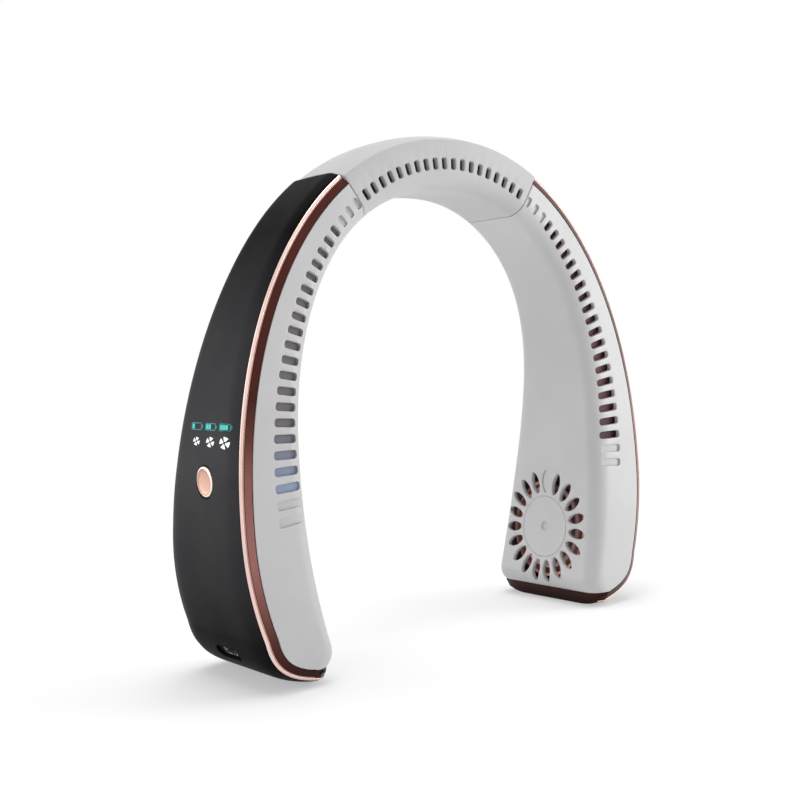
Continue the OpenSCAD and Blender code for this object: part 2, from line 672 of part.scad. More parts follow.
module tact_switch_part() {
    translate([board_x + fit / 3, button_y - switch_s / 2, button_z - switch_s / 2]) difference() {
        cube([switch_h, switch_s, switch_s]);
        translate([-over, switch_s / 2, switch_s / 2]) rotate([0, 90, 0])
            cylinder(r = plunger_r + button_gap / 3, h = switch_h + 2 * over, $fn = round_fn);
    }
}

module switch_plunger_part() {
    low = button_travel + fit;
    translate([board_x + low, button_y, button_z]) rotate([0, 90, 0])
        cylinder(r = plunger_r, h = switch_h + plunger_h - low, $fn = round_fn);
}

// Button: a dished cap with a flange behind the panel and a stem down to the switch
module power_button_part() {
    stem_x = board_x + switch_h + plunger_h;
    flange_x = outer_x(button_z + flange_r) + crown - panel_t - flange_t - fit;
    top_x = panel_x + button_rise;
    dish_r = 3 * button_d;
    translate([0, button_y, button_z]) rotate([0, 90, 0]) {
        difference() {
            union() {
                translate([0, 0, flange_x]) cylinder(r = button_d / 2, h = top_x - flange_x, $fn = fine_fn);
                translate([0, 0, flange_x]) cylinder(r = flange_r, h = flange_t, $fn = fine_fn);
            }
            translate([0, 0, top_x - button_d / 16 + dish_r]) sphere(r = dish_r, $fn = fine_fn);
        }
        translate([0, 0, stem_x])
            cylinder(r = 1.4 * plunger_r, h = flange_x + flange_t / 2 - stem_x, $fn = round_fn);
    }
}

// Lights, drawn in the plane of the panel: X is up and Y runs back
module battery_light(grow) { square([icon_h + 2 * grow, icon_l + 2 * grow], center = true); }
module speed_light(r, grow) {
    for (a = [45:90:315]) rotate(a) translate([1.35 * r, 0]) circle(r = 0.75 * r + grow, $fn = round_fn);
    circle(r = r / 2 + grow, $fn = round_fn);
}
module light_row(z, low, high) {
    for (i = [-1:1]) translate([low, icon_y - i * icon_pitch, z]) rotate([0, 90, 0])
        mirror([1, 0, 0]) linear_extrude(high - low) children(i + 1);
}
module lights(grow, low, rise) {
    light_row(battery_icon_z, low, outer_x(battery_icon_z) + rise) {
        battery_light(grow);
        battery_light(grow);
        battery_light(grow);
    }
    light_row(speed_icon_z, low, outer_x(speed_icon_z) + rise) {
        speed_light(speed_icon_sizes[0], grow);
        speed_light(speed_icon_sizes[1], grow);
        speed_light(speed_icon_sizes[2], grow);
    }
}

module light_guide_part() {
    low_z = speed_icon_z - icon_h / 2 - icon_recess;
    lights(0, board_x + guide_t, crown - icon_recess);
    translate([board_x + fit / 3, icon_y - icon_pitch - icon_l / 2, low_z])
        cube([guide_t, 2 * icon_pitch + icon_l, battery_icon_z + icon_h / 2 - low_z]);
}

// Charging port on the lower curve of the left panel

port_w = 5.2;
port_share = 1.27;
socket_w = 8.9;
socket_h = 3.2;
socket_l = 6.5;
socket_wall = 0.4;
port_y = front_y + depth(port_share) / 2;
module at_port() {
    p = outer_at(port_share);
    n = outer_normal(port_share);
    translate([p.x, port_y, p.y]) rotate([0, atan2(n.x, n.y), 0]) children();
}

module port_cuts() {
    at_port() {
        translate([0, 0, crown - panel_t / 2]) linear_extrude(over) rotate(90) stadium(port_l, port_w);
        translate([0, 0, -over]) linear_extrude(2 * over + crown) rotate(90)
            stadium(socket_w + 2 * fit, socket_h + 2 * fit);
    }
}

module usb_c_socket_part() {
    at_port() translate([0, 0, crown - panel_t / 2 - socket_l - fit]) difference() {
        linear_extrude(socket_l) rotate(90) stadium(socket_w, socket_h);
        translate([0, 0, socket_wall]) linear_extrude(socket_l) rotate(90)
            stadium(socket_w - 2 * socket_wall, socket_h - 2 * socket_wall);
    }
    tongue_z = crown - panel_t / 2 - socket_l - fit + socket_wall / 2;
    at_port() translate([-socket_wall, -socket_w / 4, tongue_z])
        cube([socket_wall * 2, socket_w / 2, socket_l * 0.7]);
}

// Wires along the band, in the corner behind the duct

harness_r = 1;
harness_stations = spread(-seam_share - collar_out / seam_len, seam_share + collar_out / seam_len, 20);
harness_inset = collar_inset + collar_t + harness_r + fit;
module harness_run(shift) {
    solid_loft([for (u = harness_stations) let (
        c = from_neck(u, band_depth - edge_r - shift, harness_inset),
        out = unit(from_neck(u, 0, thick(u)) - from_neck(u, 0, 0)))
        [for (a = [0:60:300]) c + harness_r * (cos(a) * out + sin(a) * [0, 1, 0])]]);
}

// Pieces of the neck band

module neck_sleeve() {
    color(sleeve_grey) difference() {
        tube_loft(band_stations, function(u) [
            band_ring(u, 0, band_edge_r),
            band_ring(u, sleeve_t, band_corner(sleeve_t))]);
        band_slot_cuts(sleeve_t + over / 2);
    }
}

module band_duct_frame() {
    core_share = seam_share - (collar_in + core_clear) / seam_len;
    low = sleeve_t + fit;
    color(inner_black) difference() {
        tube_loft(spread(-core_share, core_share, 10), function(u) [
            band_ring(u, low, band_corner(low)),
            band_ring(u, low + core_t, band_corner(low + core_t))]);
        band_slot_cuts(low + core_t + over / 2);
    }
}

module band_harness() {
    color("#8a2f2a") for (i = [-1:1]) harness_run(i * (2 * harness_r + fit) + harness_r * 3);
}

// Pieces of the left arm

module on_left() { mirror([1, 0, 0]) children(); }
module left_arm_shell() { color(shell_grey) on_left() arm_shell(); }
module left_trim_frame() { color(rose_gold) on_left() trim_frame(); }

module left_outer_panel() {
    color(panel_black) on_left() {
        difference() {
            outer_panel();
            translate([panel_x - panel_t - over, button_y, button_z]) rotate([0, 90, 0])
                cylinder(r = button_d / 2 + button_gap, h = 3 * over, $fn = fine_fn);
            lights(fit / 2, panel_x - panel_t - over, crown + over);
            port_cuts();
        }
        board_posts();
    }
}

module left_seam_collar() { color(inner_black) on_left() seam_collar(); }
module left_duct_partition() { color(inner_black) on_left() duct_partition(); }
module left_volute() { color(inner_black) on_left() at_blower() volute(); }
module left_blower_screws() { color(steel) on_left() at_blower() blower_screws(); }
module left_motor_stator() { color("#b87333") on_left() at_blower() motor_stator(); }
module left_impeller() { color("#3a3436") on_left() at_blower() impeller(); }
module left_rotor_magnet() { color(steel) on_left() at_blower() rotor_magnet(); }
module left_motor_shaft() { color(steel) on_left() at_blower() motor_shaft(); }
module left_battery() { color("#3f5f8f") on_left() battery(); }
module control_board() { color("#1e5a3a") on_left() control_board_part(); }
module board_screws() { color(steel) on_left() board_screws_part(); }
module tact_switch() { color(steel) on_left() tact_switch_part(); }
module usb_c_socket() { color(steel) on_left() usb_c_socket_part(); }
module light_guide() { color("#e8f4f4") on_left() light_guide_part(); }
module power_button() { color(rose_gold) on_left() power_button_part(); }
module switch_plunger() { color(inner_black) on_left() switch_plunger_part(); }

// Pieces of the right arm

module right_arm_shell() { color(shell_grey) arm_shell(); }
module right_trim_frame() { color(rose_gold) trim_frame(); }
module right_outer_panel() { color(panel_black) outer_panel(); }
module right_seam_collar() { color(inner_black) seam_collar(); }
module right_duct_partition() { color(inner_black) duct_partition(); }
module right_volute() { color(inner_black) at_blower() volute(); }
module right_blower_screws() { color(steel) at_blower() blower_screws(); }
module right_motor_stator() { color("#b87333") at_blower() motor_stator(); }
module right_impeller() { color("#3a3436") at_blower() impeller(); }
module right_rotor_magnet() { color(steel) at_blower() rotor_magnet(); }
module right_motor_shaft() { color(steel) at_blower() motor_shaft(); }
module right_battery() { color("#3f5f8f") battery(); }

neck_sleeve();
band_duct_frame();
band_harness();
left_arm_shell();
left_trim_frame();
left_outer_panel();
left_seam_collar();
left_duct_partition();
left_volute();
left_blower_screws();
left_motor_stator();
left_impeller();
left_rotor_magnet();
left_motor_shaft();
left_battery();
control_board();
board_screws();
tact_switch();
usb_c_socket();
light_guide();
power_button();
switch_plunger();
right_arm_shell();
right_trim_frame();
right_outer_panel();
right_seam_collar();
right_duct_partition();
right_volute();
right_blower_screws();
right_motor_stator();
right_impeller();
right_rotor_magnet();
right_motor_shaft();
right_battery();
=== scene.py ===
# %% [markdown]
# # An electric neck fan
# The fan is a U that rests on the neck: a silicone band at the back, and two arms that
# blow air through a row of slots. A blower in each tip draws air in through a ring of
# petals. A CAD model gives the frame, and this file dresses it: the outside is rebuilt as
# fine surfaces with soft edges, and the inside keeps the CAD parts with better finishes.
# Loading the frame first gives every piece its place, so nothing is fitted by eye.

import bpy
import numpy as np
from mathutils import Matrix


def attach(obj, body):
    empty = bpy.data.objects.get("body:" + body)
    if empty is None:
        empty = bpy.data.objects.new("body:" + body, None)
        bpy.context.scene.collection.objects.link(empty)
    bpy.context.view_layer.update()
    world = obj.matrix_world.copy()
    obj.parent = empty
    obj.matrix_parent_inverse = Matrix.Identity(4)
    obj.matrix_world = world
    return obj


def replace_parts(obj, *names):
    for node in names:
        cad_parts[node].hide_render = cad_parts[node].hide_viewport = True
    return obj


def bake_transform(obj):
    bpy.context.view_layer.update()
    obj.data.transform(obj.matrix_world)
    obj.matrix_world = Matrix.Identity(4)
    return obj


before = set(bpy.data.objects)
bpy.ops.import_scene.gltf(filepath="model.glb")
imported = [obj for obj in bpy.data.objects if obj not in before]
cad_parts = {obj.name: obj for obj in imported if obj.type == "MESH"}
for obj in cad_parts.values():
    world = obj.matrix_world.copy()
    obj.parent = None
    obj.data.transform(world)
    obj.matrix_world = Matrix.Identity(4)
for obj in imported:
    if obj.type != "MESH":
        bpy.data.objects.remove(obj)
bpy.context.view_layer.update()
scene = bpy.context.scene

# %% [markdown]
# The camera stands where the photograph was taken: 37 degrees round to the left of the
# front, a little above the middle, and turned 4 degrees on its own axis. Its right and up
# directions are unit vectors, and their cross product points back. The three become the
# columns of its matrix, which is easier to check than three angles. A lens of 57.7 mm on
# a sensor of 36 mm gives the photograph's narrow view, so near and far arm keep their sizes.

# %% The camera
CAMERA_AT = (-0.303139, -0.394735, 0.125418)
CAMERA_RIGHT = np.array([0.79354077, -0.60416075, -0.07268315])
CAMERA_UP = np.array([0.09888144, 0.01016828, 0.99504727])
LENS_MM, SENSOR_MM = 57.74, 36.0


def stand(thing, right, up, back, at):
    """Stands a camera or a lamp at a point: the three directions and the point are the
    columns of its matrix."""
    turn = np.eye(4)
    turn[:3, 0], turn[:3, 1], turn[:3, 2], turn[:3, 3] = right, up, back, at
    thing.matrix_world = Matrix(turn.tolist())
    scene.collection.objects.link(thing)


lens = bpy.data.cameras.new("camera")
lens.lens, lens.sensor_width = LENS_MM, SENSOR_MM
camera = bpy.data.objects.new("camera", lens)
stand(camera, CAMERA_RIGHT, CAMERA_UP, np.cross(CAMERA_RIGHT, CAMERA_UP), CAMERA_AT)
scene.camera = camera
scene.view_settings.view_transform = "Standard"
print("camera at", [round(c, 4) for c in camera.location])

# %% [markdown]
# ## The outline
# Seen from the front, the fan lies between two curves: the outer side and the neck
# opening. Both are superellipses above their widest place and plain ellipses below it,
# and each ends in a short curve round the toe. A number u tells how far along the arm a
# point lies: 0 is the top of the band, 1 the start of the tip and 2 the toe.
# The sizes come first. They are the CAD model's own, apart from the trim's, which is drawn
# as one slope here.

# %% Sizes, in millimetres
MM = 0.001
WIDTH, HEIGHT, TIP_DEPTH, BAND_DEPTH = 195.0, 190.0, 60.0, 35.0
CROWN, BAND_THICK, ARM_THICK, TIP_LEAN = 2.4, 18.5, 28.0, 2.0
# Walls and soft edges, then the trim's reach inwards and backwards and a joint's gap
WALL, EDGE_R, BAND_EDGE_R, SLEEVE_T, PANEL_T = 1.8, 6.8, 0.9, 1.8, 2.0
TRIM_W, TRIM_T, FIT = 3.2, 2.3, 0.15
# Half widths and tops of the two curves, where they are widest and how far they drop below
OUTER_HALF, OUTER_TOP = WIDTH / 2 - CROWN, HEIGHT - CROWN
INNER_HALF, INNER_TOP = WIDTH / 2 - ARM_THICK, OUTER_TOP - BAND_THICK
WIDE_Z, NECK_WIDE_Z = 0.29 * HEIGHT, 0.379 * HEIGHT
OUTER_DROP, INNER_DROP = 0.558 * HEIGHT, 0.716 * HEIGHT
OUTER_SQUARE, INNER_SQUARE, LEAD_DEG = 2.12, 2.27, 7.5
# The front face, the height below which the arm gets deeper, and the end of the toe
FRONT_Y, FLARE_Z, FOOT_Z = -TIP_DEPTH / 2, 0.826 * HEIGHT, CROWN
TOE_X, TOE_H = INNER_HALF - TIP_LEAN, 1.1 * CROWN
# Angle of the oval at u = 1, and the u of the seam and of the ends of shell and panel
TIP_DEG, STEP = 110.0, 0.004
SEAM, SHELL_END, TOE_START, PANEL_END = 27 / TIP_DEG, 1.87, 1.885, 1.95
print("widest half widths:", round(OUTER_HALF, 1), "outside and", round(INNER_HALF, 1), "inside")

# %% [markdown]
# The two sides could be drawn by hand as curve objects. They are functions of whole
# arrays of u instead, because one line of numpy then places thousands of points. The toe is
# a cubic curve whose control points are given as shares of the way from its end back to
# the oval, so it moves along when a size changes.

# %% The two sides
OUTER_TOE = [[1, 1], [0.914, 0.4], [0.68, 0.11], [0, -0.03]]
NECK_TOE = [[1, 1], [1.1, 0.65], [0.95, 0.26], [0, 0]]


def oval(half, top, mid, drop, square, deg):
    """Superellipse above its widest height mid, ellipse below it: width half times the
    sine, height from mid up to top by the cosine raised to 2 / square, or down by drop."""
    s, c = np.sin(np.radians(deg)), np.cos(np.radians(deg))
    high = deg <= 90
    x = half * np.where(high, np.abs(s) ** (2 / square), s)
    z = mid + np.where(high, (top - mid) * np.clip(c, 0, None) ** (2 / square), drop * c)
    return np.stack([x, z], -1)


def outer_oval(deg):
    """Outer side above the tip, by the angle from the top."""
    return oval(OUTER_HALF, OUTER_TOP, WIDE_Z, OUTER_DROP, OUTER_SQUARE, deg)


def neck_oval(deg):
    """Neck side above the tip. Its angle runs ahead by LEAD_DEG times the sine cubed, so
    that a section stays square to both sides."""
    ahead = deg + LEAD_DEG * np.sin(np.radians(deg)) ** 3
    return oval(INNER_HALF, INNER_TOP, NECK_WIDE_Z, INNER_DROP, INNER_SQUARE, ahead)


def toe_curve(start, stop, shares, k):
    """Cubic curve from start to stop: the four control points are shares of the way."""
    p = [stop + np.array(s) * (start - stop) for s in shares]
    k = np.asarray(k)[..., None]
    return (1 - k) ** 3 * p[0] + 3 * k * (1 - k) ** 2 * p[1] + 3 * k * k * (1 - k) * p[2] + k ** 3 * p[3]


def side_at(u, oval_at, toe_end, shares):
    """Point of one side as x and z: on the oval up to u = 1, then on the toe curve, never
    below the foot. A negative u gives the left side."""
    a = np.abs(u)
    toe = toe_curve(oval_at(np.array(TIP_DEG)), np.array(toe_end), shares, np.clip(a - 1, 0, 1))
    toe[..., 1] = np.maximum(toe[..., 1], FOOT_Z)
    p = np.where((a <= 1)[..., None], oval_at(np.minimum(a, 1) * TIP_DEG), toe)
    return p * np.stack([np.where(u < 0, -1.0, 1.0), np.ones_like(a)], -1)


def outer_at(u):
    """Outer side at u, as x and z."""
    return side_at(u, outer_oval, [TOE_X, FOOT_Z], OUTER_TOE)


def inner_at(u):
    """Neck side at u, as x and z."""
    return side_at(u, neck_oval, [TOE_X - TOE_H / 2, FOOT_Z + TOE_H], NECK_TOE)


def unit(p):
    """Each row divided by its length."""
    return p / np.linalg.norm(p, axis=-1, keepdims=True)


def outer_normal(u):
    """Outward normal of the outer side: its direction turned a quarter to the left."""
    t = unit(outer_at(np.minimum(2, u + STEP)) - outer_at(u - STEP))
    return np.stack([-t[..., 1], t[..., 0]], -1)


print("toe at", outer_at(np.array(2.0)).round(1), "seam at", outer_at(np.array(SEAM)).round(1))

# %% [markdown]
# The arm is shallow at the band and deep at the tip, so its depth grows along a smooth
# step. The outer side also bulges a little in the middle, which gives the black panel its
# soft highlight together with a painted sheen in its colour. Two helpers place a point in
# a section of the arm: one measures in from the neck side, the other out from the outer side.

# %% Points in a section
def depth(u):
    """Depth at u: the band's, plus a smooth step (3 k squared - 2 k cubed) down the arm."""
    z = (outer_at(u) + inner_at(u))[..., 1] / 2
    k = np.clip((FLARE_Z - z) / (FLARE_Z - FOOT_Z), 0, 1)
    return BAND_DEPTH + (TIP_DEPTH - BAND_DEPTH) * k * k * (3 - 2 * k)


def bulge(u, y):
    """Crown of the outer side: full in the middle half, then less by the cube of the way
    to the trim, where a quarter of it is left."""
    s = np.clip((np.abs(2 * y / depth(u) - 1) - 0.5) / (0.5 - 2 * TRIM_T / depth(u)), 0, 1)
    return CROWN * (1 - 0.75 * s ** 3)


def thick(u):
    """Distance of the two sides at u."""
    return np.linalg.norm(outer_at(u) - inner_at(u), axis=-1)


def trim_in(u):
    """How far the trim reaches in from the outer side: its width, or three quarters of the
    section where the toe gets thin."""
    return np.minimum(TRIM_W, 0.75 * np.sum((outer_at(u) - inner_at(u)) * outer_normal(u), -1))


def trim_edge(u):
    """Line where the trim meets the grey shell: the outer side less the trim's reach."""
    return outer_at(u) - trim_in(u)[..., None] * outer_normal(u)


def room_at(u):
    """Room for the shell between the trim and the neck side."""
    return np.linalg.norm(trim_edge(u) - inner_at(u), axis=-1) - FIT


def edge_radius(u):
    """Radius of the soft edges: EDGE_R, or 95 % of the room where the toe gets thin."""
    return np.minimum(EDGE_R, 0.95 * room_at(u))


def place(p, y):
    """Joins x and z with y, counted back from the slotted face."""
    y = np.broadcast_to(FRONT_Y + y, p.shape[:-1])
    return np.stack([p[..., 0], y, p[..., 1]], -1)


def from_neck(u, y, v):
    """Point at u, y behind the slotted face and v out from the neck side."""
    i = inner_at(u)
    return place(i + np.asarray(v)[..., None] * unit(trim_edge(u) - i), y)


def from_outer(u, y, w):
    """Point at u, y behind the slotted face and w above the outer side."""
    return place(outer_at(u) + np.asarray(w)[..., None] * outer_normal(u), y)


print("depth at the band and the toe:", depth(np.array([0.0, 2.0])).round(1))

# %% [markdown]
# ## Turning points into meshes
# A shell is two grids of points, an outer and an inner skin, joined along their rims. The
# faces are worked out as index arrays, so no Python loop visits a vertex. Whether a closed
# mesh faces outwards shows in its volume: if the sum over its faces comes out negative, the
# faces are turned round. That also makes a mirrored arm come out right.

# %% Closed meshes
SMOOTH_DEG = 32


def quads(m, n):
    """Quads between m rings of n points, each ring closed: point i of ring j has the
    number j times n plus i."""
    j, i = np.meshgrid(np.arange(m - 1), np.arange(n), indexing="ij")
    a, b = j * n + i, j * n + (i + 1) % n
    return np.stack([a, b, b + n, a + n], -1).reshape(-1, 4)


def volume(points, faces):
    """Sum of the signed tetrahedra between the origin and each face's triangles."""
    total = 0.0
    for f in faces:
        a = points[f[:, 0]]
        for k in range(1, f.shape[1] - 1):
            total += np.einsum("ij,ij->", a, np.cross(points[f[:, k]], points[f[:, k + 1]])) / 6
    return total


def smooth(piece, angle):
    """Smooth shading, with a sharp edge where two faces meet at more than the angle."""
    piece.data.shade_smooth()
    piece.data.set_sharp_from_angle(angle=np.radians(angle))


def closed_piece(name, points, faces, angle=SMOOTH_DEG, flip=False):
    """Object from points in millimetres and face arrays, mirrored to the left side by
    flip and turned to face outwards."""
    points = np.asarray(points).reshape(-1, 3)
    if flip:
        points = points * [-1, 1, 1]
    if volume(points, faces) < 0:
        faces = [f[:, ::-1] for f in faces]
    mesh = bpy.data.meshes.new(name)
    mesh.from_pydata(points * MM, [], [tuple(q) for f in faces for q in f.tolist()])
    mesh.validate()
    piece = bpy.data.objects.new(name, mesh)
    scene.collection.objects.link(piece)
    smooth(piece, angle)
    return piece


print("faces of a ring of four:", quads(2, 4).tolist())

# %% [markdown]
# Four kinds of closed shape are enough for the whole fan: a strip shell for plates and the
# moulded arm, a tube wall for the band, stacks of rings for cutters and small solids, and a
# turned piece for the button.

# %% Shells, tubes and solids
def strip_faces(m, k):
    """Faces of a strip shell whose lines hold k outer points, then k inner ones backwards."""
    n = 2 * k
    i = np.arange(k - 1)
    cap = np.stack([i, i + 1, n - 2 - i, n - 1 - i], -1)
    return [quads(m, n), cap[:, ::-1], cap + (m - 1) * n]


def strip_shell(name, outer, inner, **how):
    """Closed shell between two grids of stations by rows: each station's outer row and
    its inner row backwards make one ring."""
    points = np.concatenate([outer, inner[:, ::-1]], 1)
    return closed_piece(name, points, strip_faces(*outer.shape[:2]), **how)


def tube_shell(name, outer, inner, **how):
    """Closed pipe wall between two grids of stations by ring points: the outer skin, the
    inner one turned round, and a rim of quads at both ends."""
    m, k = outer.shape[:2]
    skin = quads(m, k)
    i = np.arange(k)
    rim = np.stack([i, (i + 1) % k, (i + 1) % k + m * k, i + m * k], -1)
    faces = [skin, skin[:, ::-1] + m * k, rim[:, ::-1], rim + (m - 1) * k]
    return closed_piece(name, np.concatenate([outer.reshape(-1, 3), inner.reshape(-1, 3)]), faces, **how)


def solid_faces(s, m, n):
    """Faces of s separate solids, each a stack of m rings of n points with flat ends."""
    start = np.arange(s)[:, None, None] * m * n
    side = (quads(m, n)[None] + start).reshape(-1, 4)
    ends = np.stack([np.arange(n)[::-1], np.arange(n) + (m - 1) * n])[None] + start
    return [side, ends.reshape(-1, n)]


def lathe(name, profile, axis, centre, steps):
    """Turned piece: a profile of radius and height swung round the axis through centre.
    A point is the centre, plus the radius times the spoke, plus the height times the axis."""
    axis = unit(np.array(axis, float))
    side = unit(np.cross(axis, [0.0, 1.0, 0.0]))
    a = np.linspace(0, 2 * np.pi, steps, endpoint=False)[None, :, None]
    spoke = np.cos(a) * side + np.sin(a) * np.cross(axis, side)
    r, h = np.array(profile, float).T[..., None, None]
    points = np.array(centre) + r * spoke + h * axis
    return closed_piece(name, points, solid_faces(1, len(profile), steps))


print("faces of two cubes:", sum(len(f) for f in solid_faces(2, 2, 4)))

# %% [markdown]
# Holes are cut with Blender's Boolean modifier, whose result is read back as a plain mesh,
# so no modifier is left on a piece. A hole in a moulded part has a soft rim. The helpers
# give the steps of such a rim: each ring of a cutter is a growth and a depth.

# %% Cuts and soft rims
ABOVE_WALL = 1.5


def cut(piece, cutter, angle=SMOOTH_DEG):
    """Takes the cutter out of the piece and keeps the cut mesh."""
    rule = piece.modifiers.new("cut", "BOOLEAN")
    rule.operation, rule.solver, rule.object = "DIFFERENCE", "MANIFOLD", cutter
    shape = piece.evaluated_get(bpy.context.evaluated_depsgraph_get())
    mesh = bpy.data.meshes.new_from_object(shape)
    piece.modifiers.clear()
    piece.data = mesh
    bpy.data.objects.remove(cutter)
    smooth(piece, angle)
    print(piece.name, "cut to", len(mesh.polygons), "faces")
    return piece


def soft(s, r):
    """How far a rounded edge of radius r falls back at distance s from the end: r less the
    root of r squared less (r - s) squared."""
    s = np.clip(s, 0, r)
    return r - np.sqrt(np.maximum(r * r - (r - s) ** 2, 0))


def quarter_turn(steps):
    """Angles from 0 to a quarter turn, in radians."""
    return np.radians(np.linspace(0, 90, steps + 1))


def rim_steps(edge, deep, above, steps=4):
    """Growth and depth of a cutter's rings: from above the face, round a rim of radius
    edge along a quarter circle, then straight down to deep."""
    a = quarter_turn(steps)
    grow = np.concatenate([[edge], edge - edge * np.sin(a), [0]])
    down = np.concatenate([[-above], edge - edge * np.cos(a), [deep]])
    return grow, down


def turned(p, a):
    """Flat points turned by the angle a, in radians, counter-clockwise."""
    return p @ np.array([[np.cos(a), np.sin(a)], [-np.sin(a), np.cos(a)]])


def round_box(l, w, r, n=4):
    """Rectangle of l by w, counter-clockwise: a quarter circle of radius r, turned by
    quarter turns and set on each corner."""
    a = np.radians(np.linspace(0, 90, n + 1))
    corner = r * np.stack([np.cos(a), np.sin(a)], -1)
    mid = np.array([(1, 1), (-1, 1), (-1, -1), (1, -1)]) * [l / 2 - r, w / 2 - r]
    return np.concatenate([turned(corner, k * np.pi / 2) + m for k, m in enumerate(mid)])


print("rim of 0.3 mm at 0.1 mm falls back", round(float(soft(0.1, 0.3)), 3), "mm")

# %% [markdown]
# ## The slot row
# The air leaves through slots that follow one more oval, set in from the neck opening. The
# slots are evenly spaced on the band. On the arm they grow longer and wider downwards, and
# the first three and last two are only shallow marks, so that the row seems to run on
# across the joint and fades out below. An Array modifier could repeat one slot, but here
# every slot differs, so their places and sizes are columns of numbers.

# %% Places of the slots
ROW_IN, ROW_DROP, ROW_WIDE_Z, ROW_FALL, ROW_SQUARE = 8.1, 11.5, 0.39 * HEIGHT, 0.61 * HEIGHT, 2.06
BAND_SLOTS, SEAM_PITCHES, BAND_SLOT = 10, 9.9, (4.3, 2.2, 2.6, 0.32)
ARM_SLOTS, TOP_BLIND, END_BLIND, ROW_END_DEG = 24, 3, 2, 98.6
ARM_PITCHES, SEAM_CLEAR, FIRST_HALF, LEN_POWER = 1.04, 0.5, 1.1, 1.6
SLOT_LEN, SLOT_GROWS, SLOT_W, SLOT_WIDENS = 4.3, 6.9, 2.25, 0.9
OPEN_DEEP, BLIND_DEEP, OPEN_EDGE, BLIND_EDGE = 4.0, 0.9, 0.32, 0.14


def row_arc(deg):
    """Middle line of the slot row, by the angle from the top: one more oval."""
    return oval(INNER_HALF + ROW_IN, HEIGHT - ROW_DROP, ROW_WIDE_Z, ROW_FALL - ROW_DROP, ROW_SQUARE, deg)


ROW_DEGS = np.arange(0, 113, 2.0)
row_steps = np.linalg.norm(np.diff(row_arc(ROW_DEGS), axis=0), axis=1)
ROW_RUNS = np.concatenate([[0], np.cumsum(row_steps)])
seam_line = np.diff([inner_at(np.array(SEAM)), outer_at(np.array(SEAM))], axis=0)[0]
past_seam = (row_arc(ROW_DEGS) - inner_at(np.array(SEAM))) @ [seam_line[1], -seam_line[0]]
SEAM_RUN = np.interp(0, past_seam, ROW_RUNS)
PITCH = SEAM_RUN / SEAM_PITCHES
band_runs = PITCH * np.arange(BAND_SLOTS)

# On the arm the way to a slot grows by the pitch and by the square of the slot's number
j, final = np.arange(ARM_SLOTS), ARM_SLOTS - 1
arm_pitch = ARM_PITCHES * PITCH
first = SEAM_RUN + SEAM_CLEAR + FIRST_HALF
last = np.interp(ROW_END_DEG, ROW_DEGS, ROW_RUNS)
arm_runs = first + arm_pitch * j + (last - first - arm_pitch * final) * (j / final) ** 2
blind = (j < TOP_BLIND) | (j > final - END_BLIND)
arm_sizes = np.stack([SLOT_LEN + SLOT_GROWS * (j / final) ** LEN_POWER, SLOT_W + SLOT_WIDENS * j / final,
                      np.where(blind, BLIND_DEEP, OPEN_DEEP), np.where(blind, BLIND_EDGE, OPEN_EDGE)], -1)
print("slot pitch", round(PITCH, 2), "mm, row length", round(last, 1), "mm")

# %% [markdown]
# On the real fan the mould leaves a small radius round each slot. Each cutter is a stack
# of rounded rectangles: wide where it meets the face, then drawn in along a quarter
# circle, then straight down. The rings of all the slots are placed in one array, because
# one cutter for the whole row means one cut.

# %% Slot cutters
SLOT_CORNER = 0.36


def slot_rings(l, w, deep, edge):
    """Rings of one slot cutter: a rounded rectangle grown by each step of the rim, with
    the step's depth below the face as a third number."""
    grow, down = rim_steps(edge, deep, ABOVE_WALL)
    rings = [round_box(l + 2 * g, w + 2 * g, SLOT_CORNER * w + g) for g in grow]
    return np.stack([np.column_stack([r, np.full(len(r), d)]) for r, d in zip(rings, down)])


def slot_cutters(name, runs, sizes, flip=False):
    """Cutters at lengths along the row: long axis across the row, depth along +Y."""
    deg = np.interp(runs, ROW_RUNS, ROW_DEGS)
    c = row_arc(deg)
    along = row_arc(deg + 1) - row_arc(np.maximum(deg - 1, 0))
    t = unit(np.where((deg > 1)[:, None], along, [[1.0, 0.0]]))
    across = np.stack([-t[:, 1], t[:, 0]], -1)
    rings = np.stack([slot_rings(*s) for s in sizes])
    flat = c[:, None, None] + rings[..., :1] * across[:, None, None] + rings[..., 1:2] * t[:, None, None]
    s, m, n = rings.shape[:3]
    return closed_piece(name, place(flat, rings[..., 2]), solid_faces(s, m, n), flip=flip)


print("rings of a slot:", slot_rings(*BAND_SLOT).shape)

# %% [markdown]
# ## Finishes
# Every surface of a real moulded product has some grain and some unevenness. Its shader is
# a formula written in small nodes, so a few helpers write the nodes: a value on a socket,
# a noise texture, one step of arithmetic, a smooth step and a mix of two colours. With
# them a finish is as short as its formula.

# %% Node helpers
def feed(tree, value, socket):
    """Puts a value on a socket: a number, a colour or a link from another socket."""
    if isinstance(value, (int, float)):
        socket.default_value = value
    elif isinstance(value, tuple):
        socket.default_value = (*value, 1)
    else:
        tree.links.new(value, socket)


def object_axes(tree):
    """Place of a point by the piece's own axes, in metres."""
    return tree.nodes.new("ShaderNodeTexCoord").outputs["Object"]


def one_axis(tree, axis):
    """One coordinate of a point by the piece's own axes, in metres."""
    split = tree.nodes.new("ShaderNodeSeparateXYZ")
    tree.links.new(object_axes(tree), split.inputs[0])
    return split.outputs[axis]


def noise(tree, vector, scale, detail=2.0, rough=0.5):
    """Noise texture that reads the vector, with its scale as a number or a socket."""
    tex = tree.nodes.new("ShaderNodeTexNoise")
    tree.links.new(vector, tex.inputs["Vector"])
    tex.inputs["Detail"].default_value, tex.inputs["Roughness"].default_value = detail, rough
    feed(tree, scale, tex.inputs["Scale"])
    return tex.outputs["Fac"]


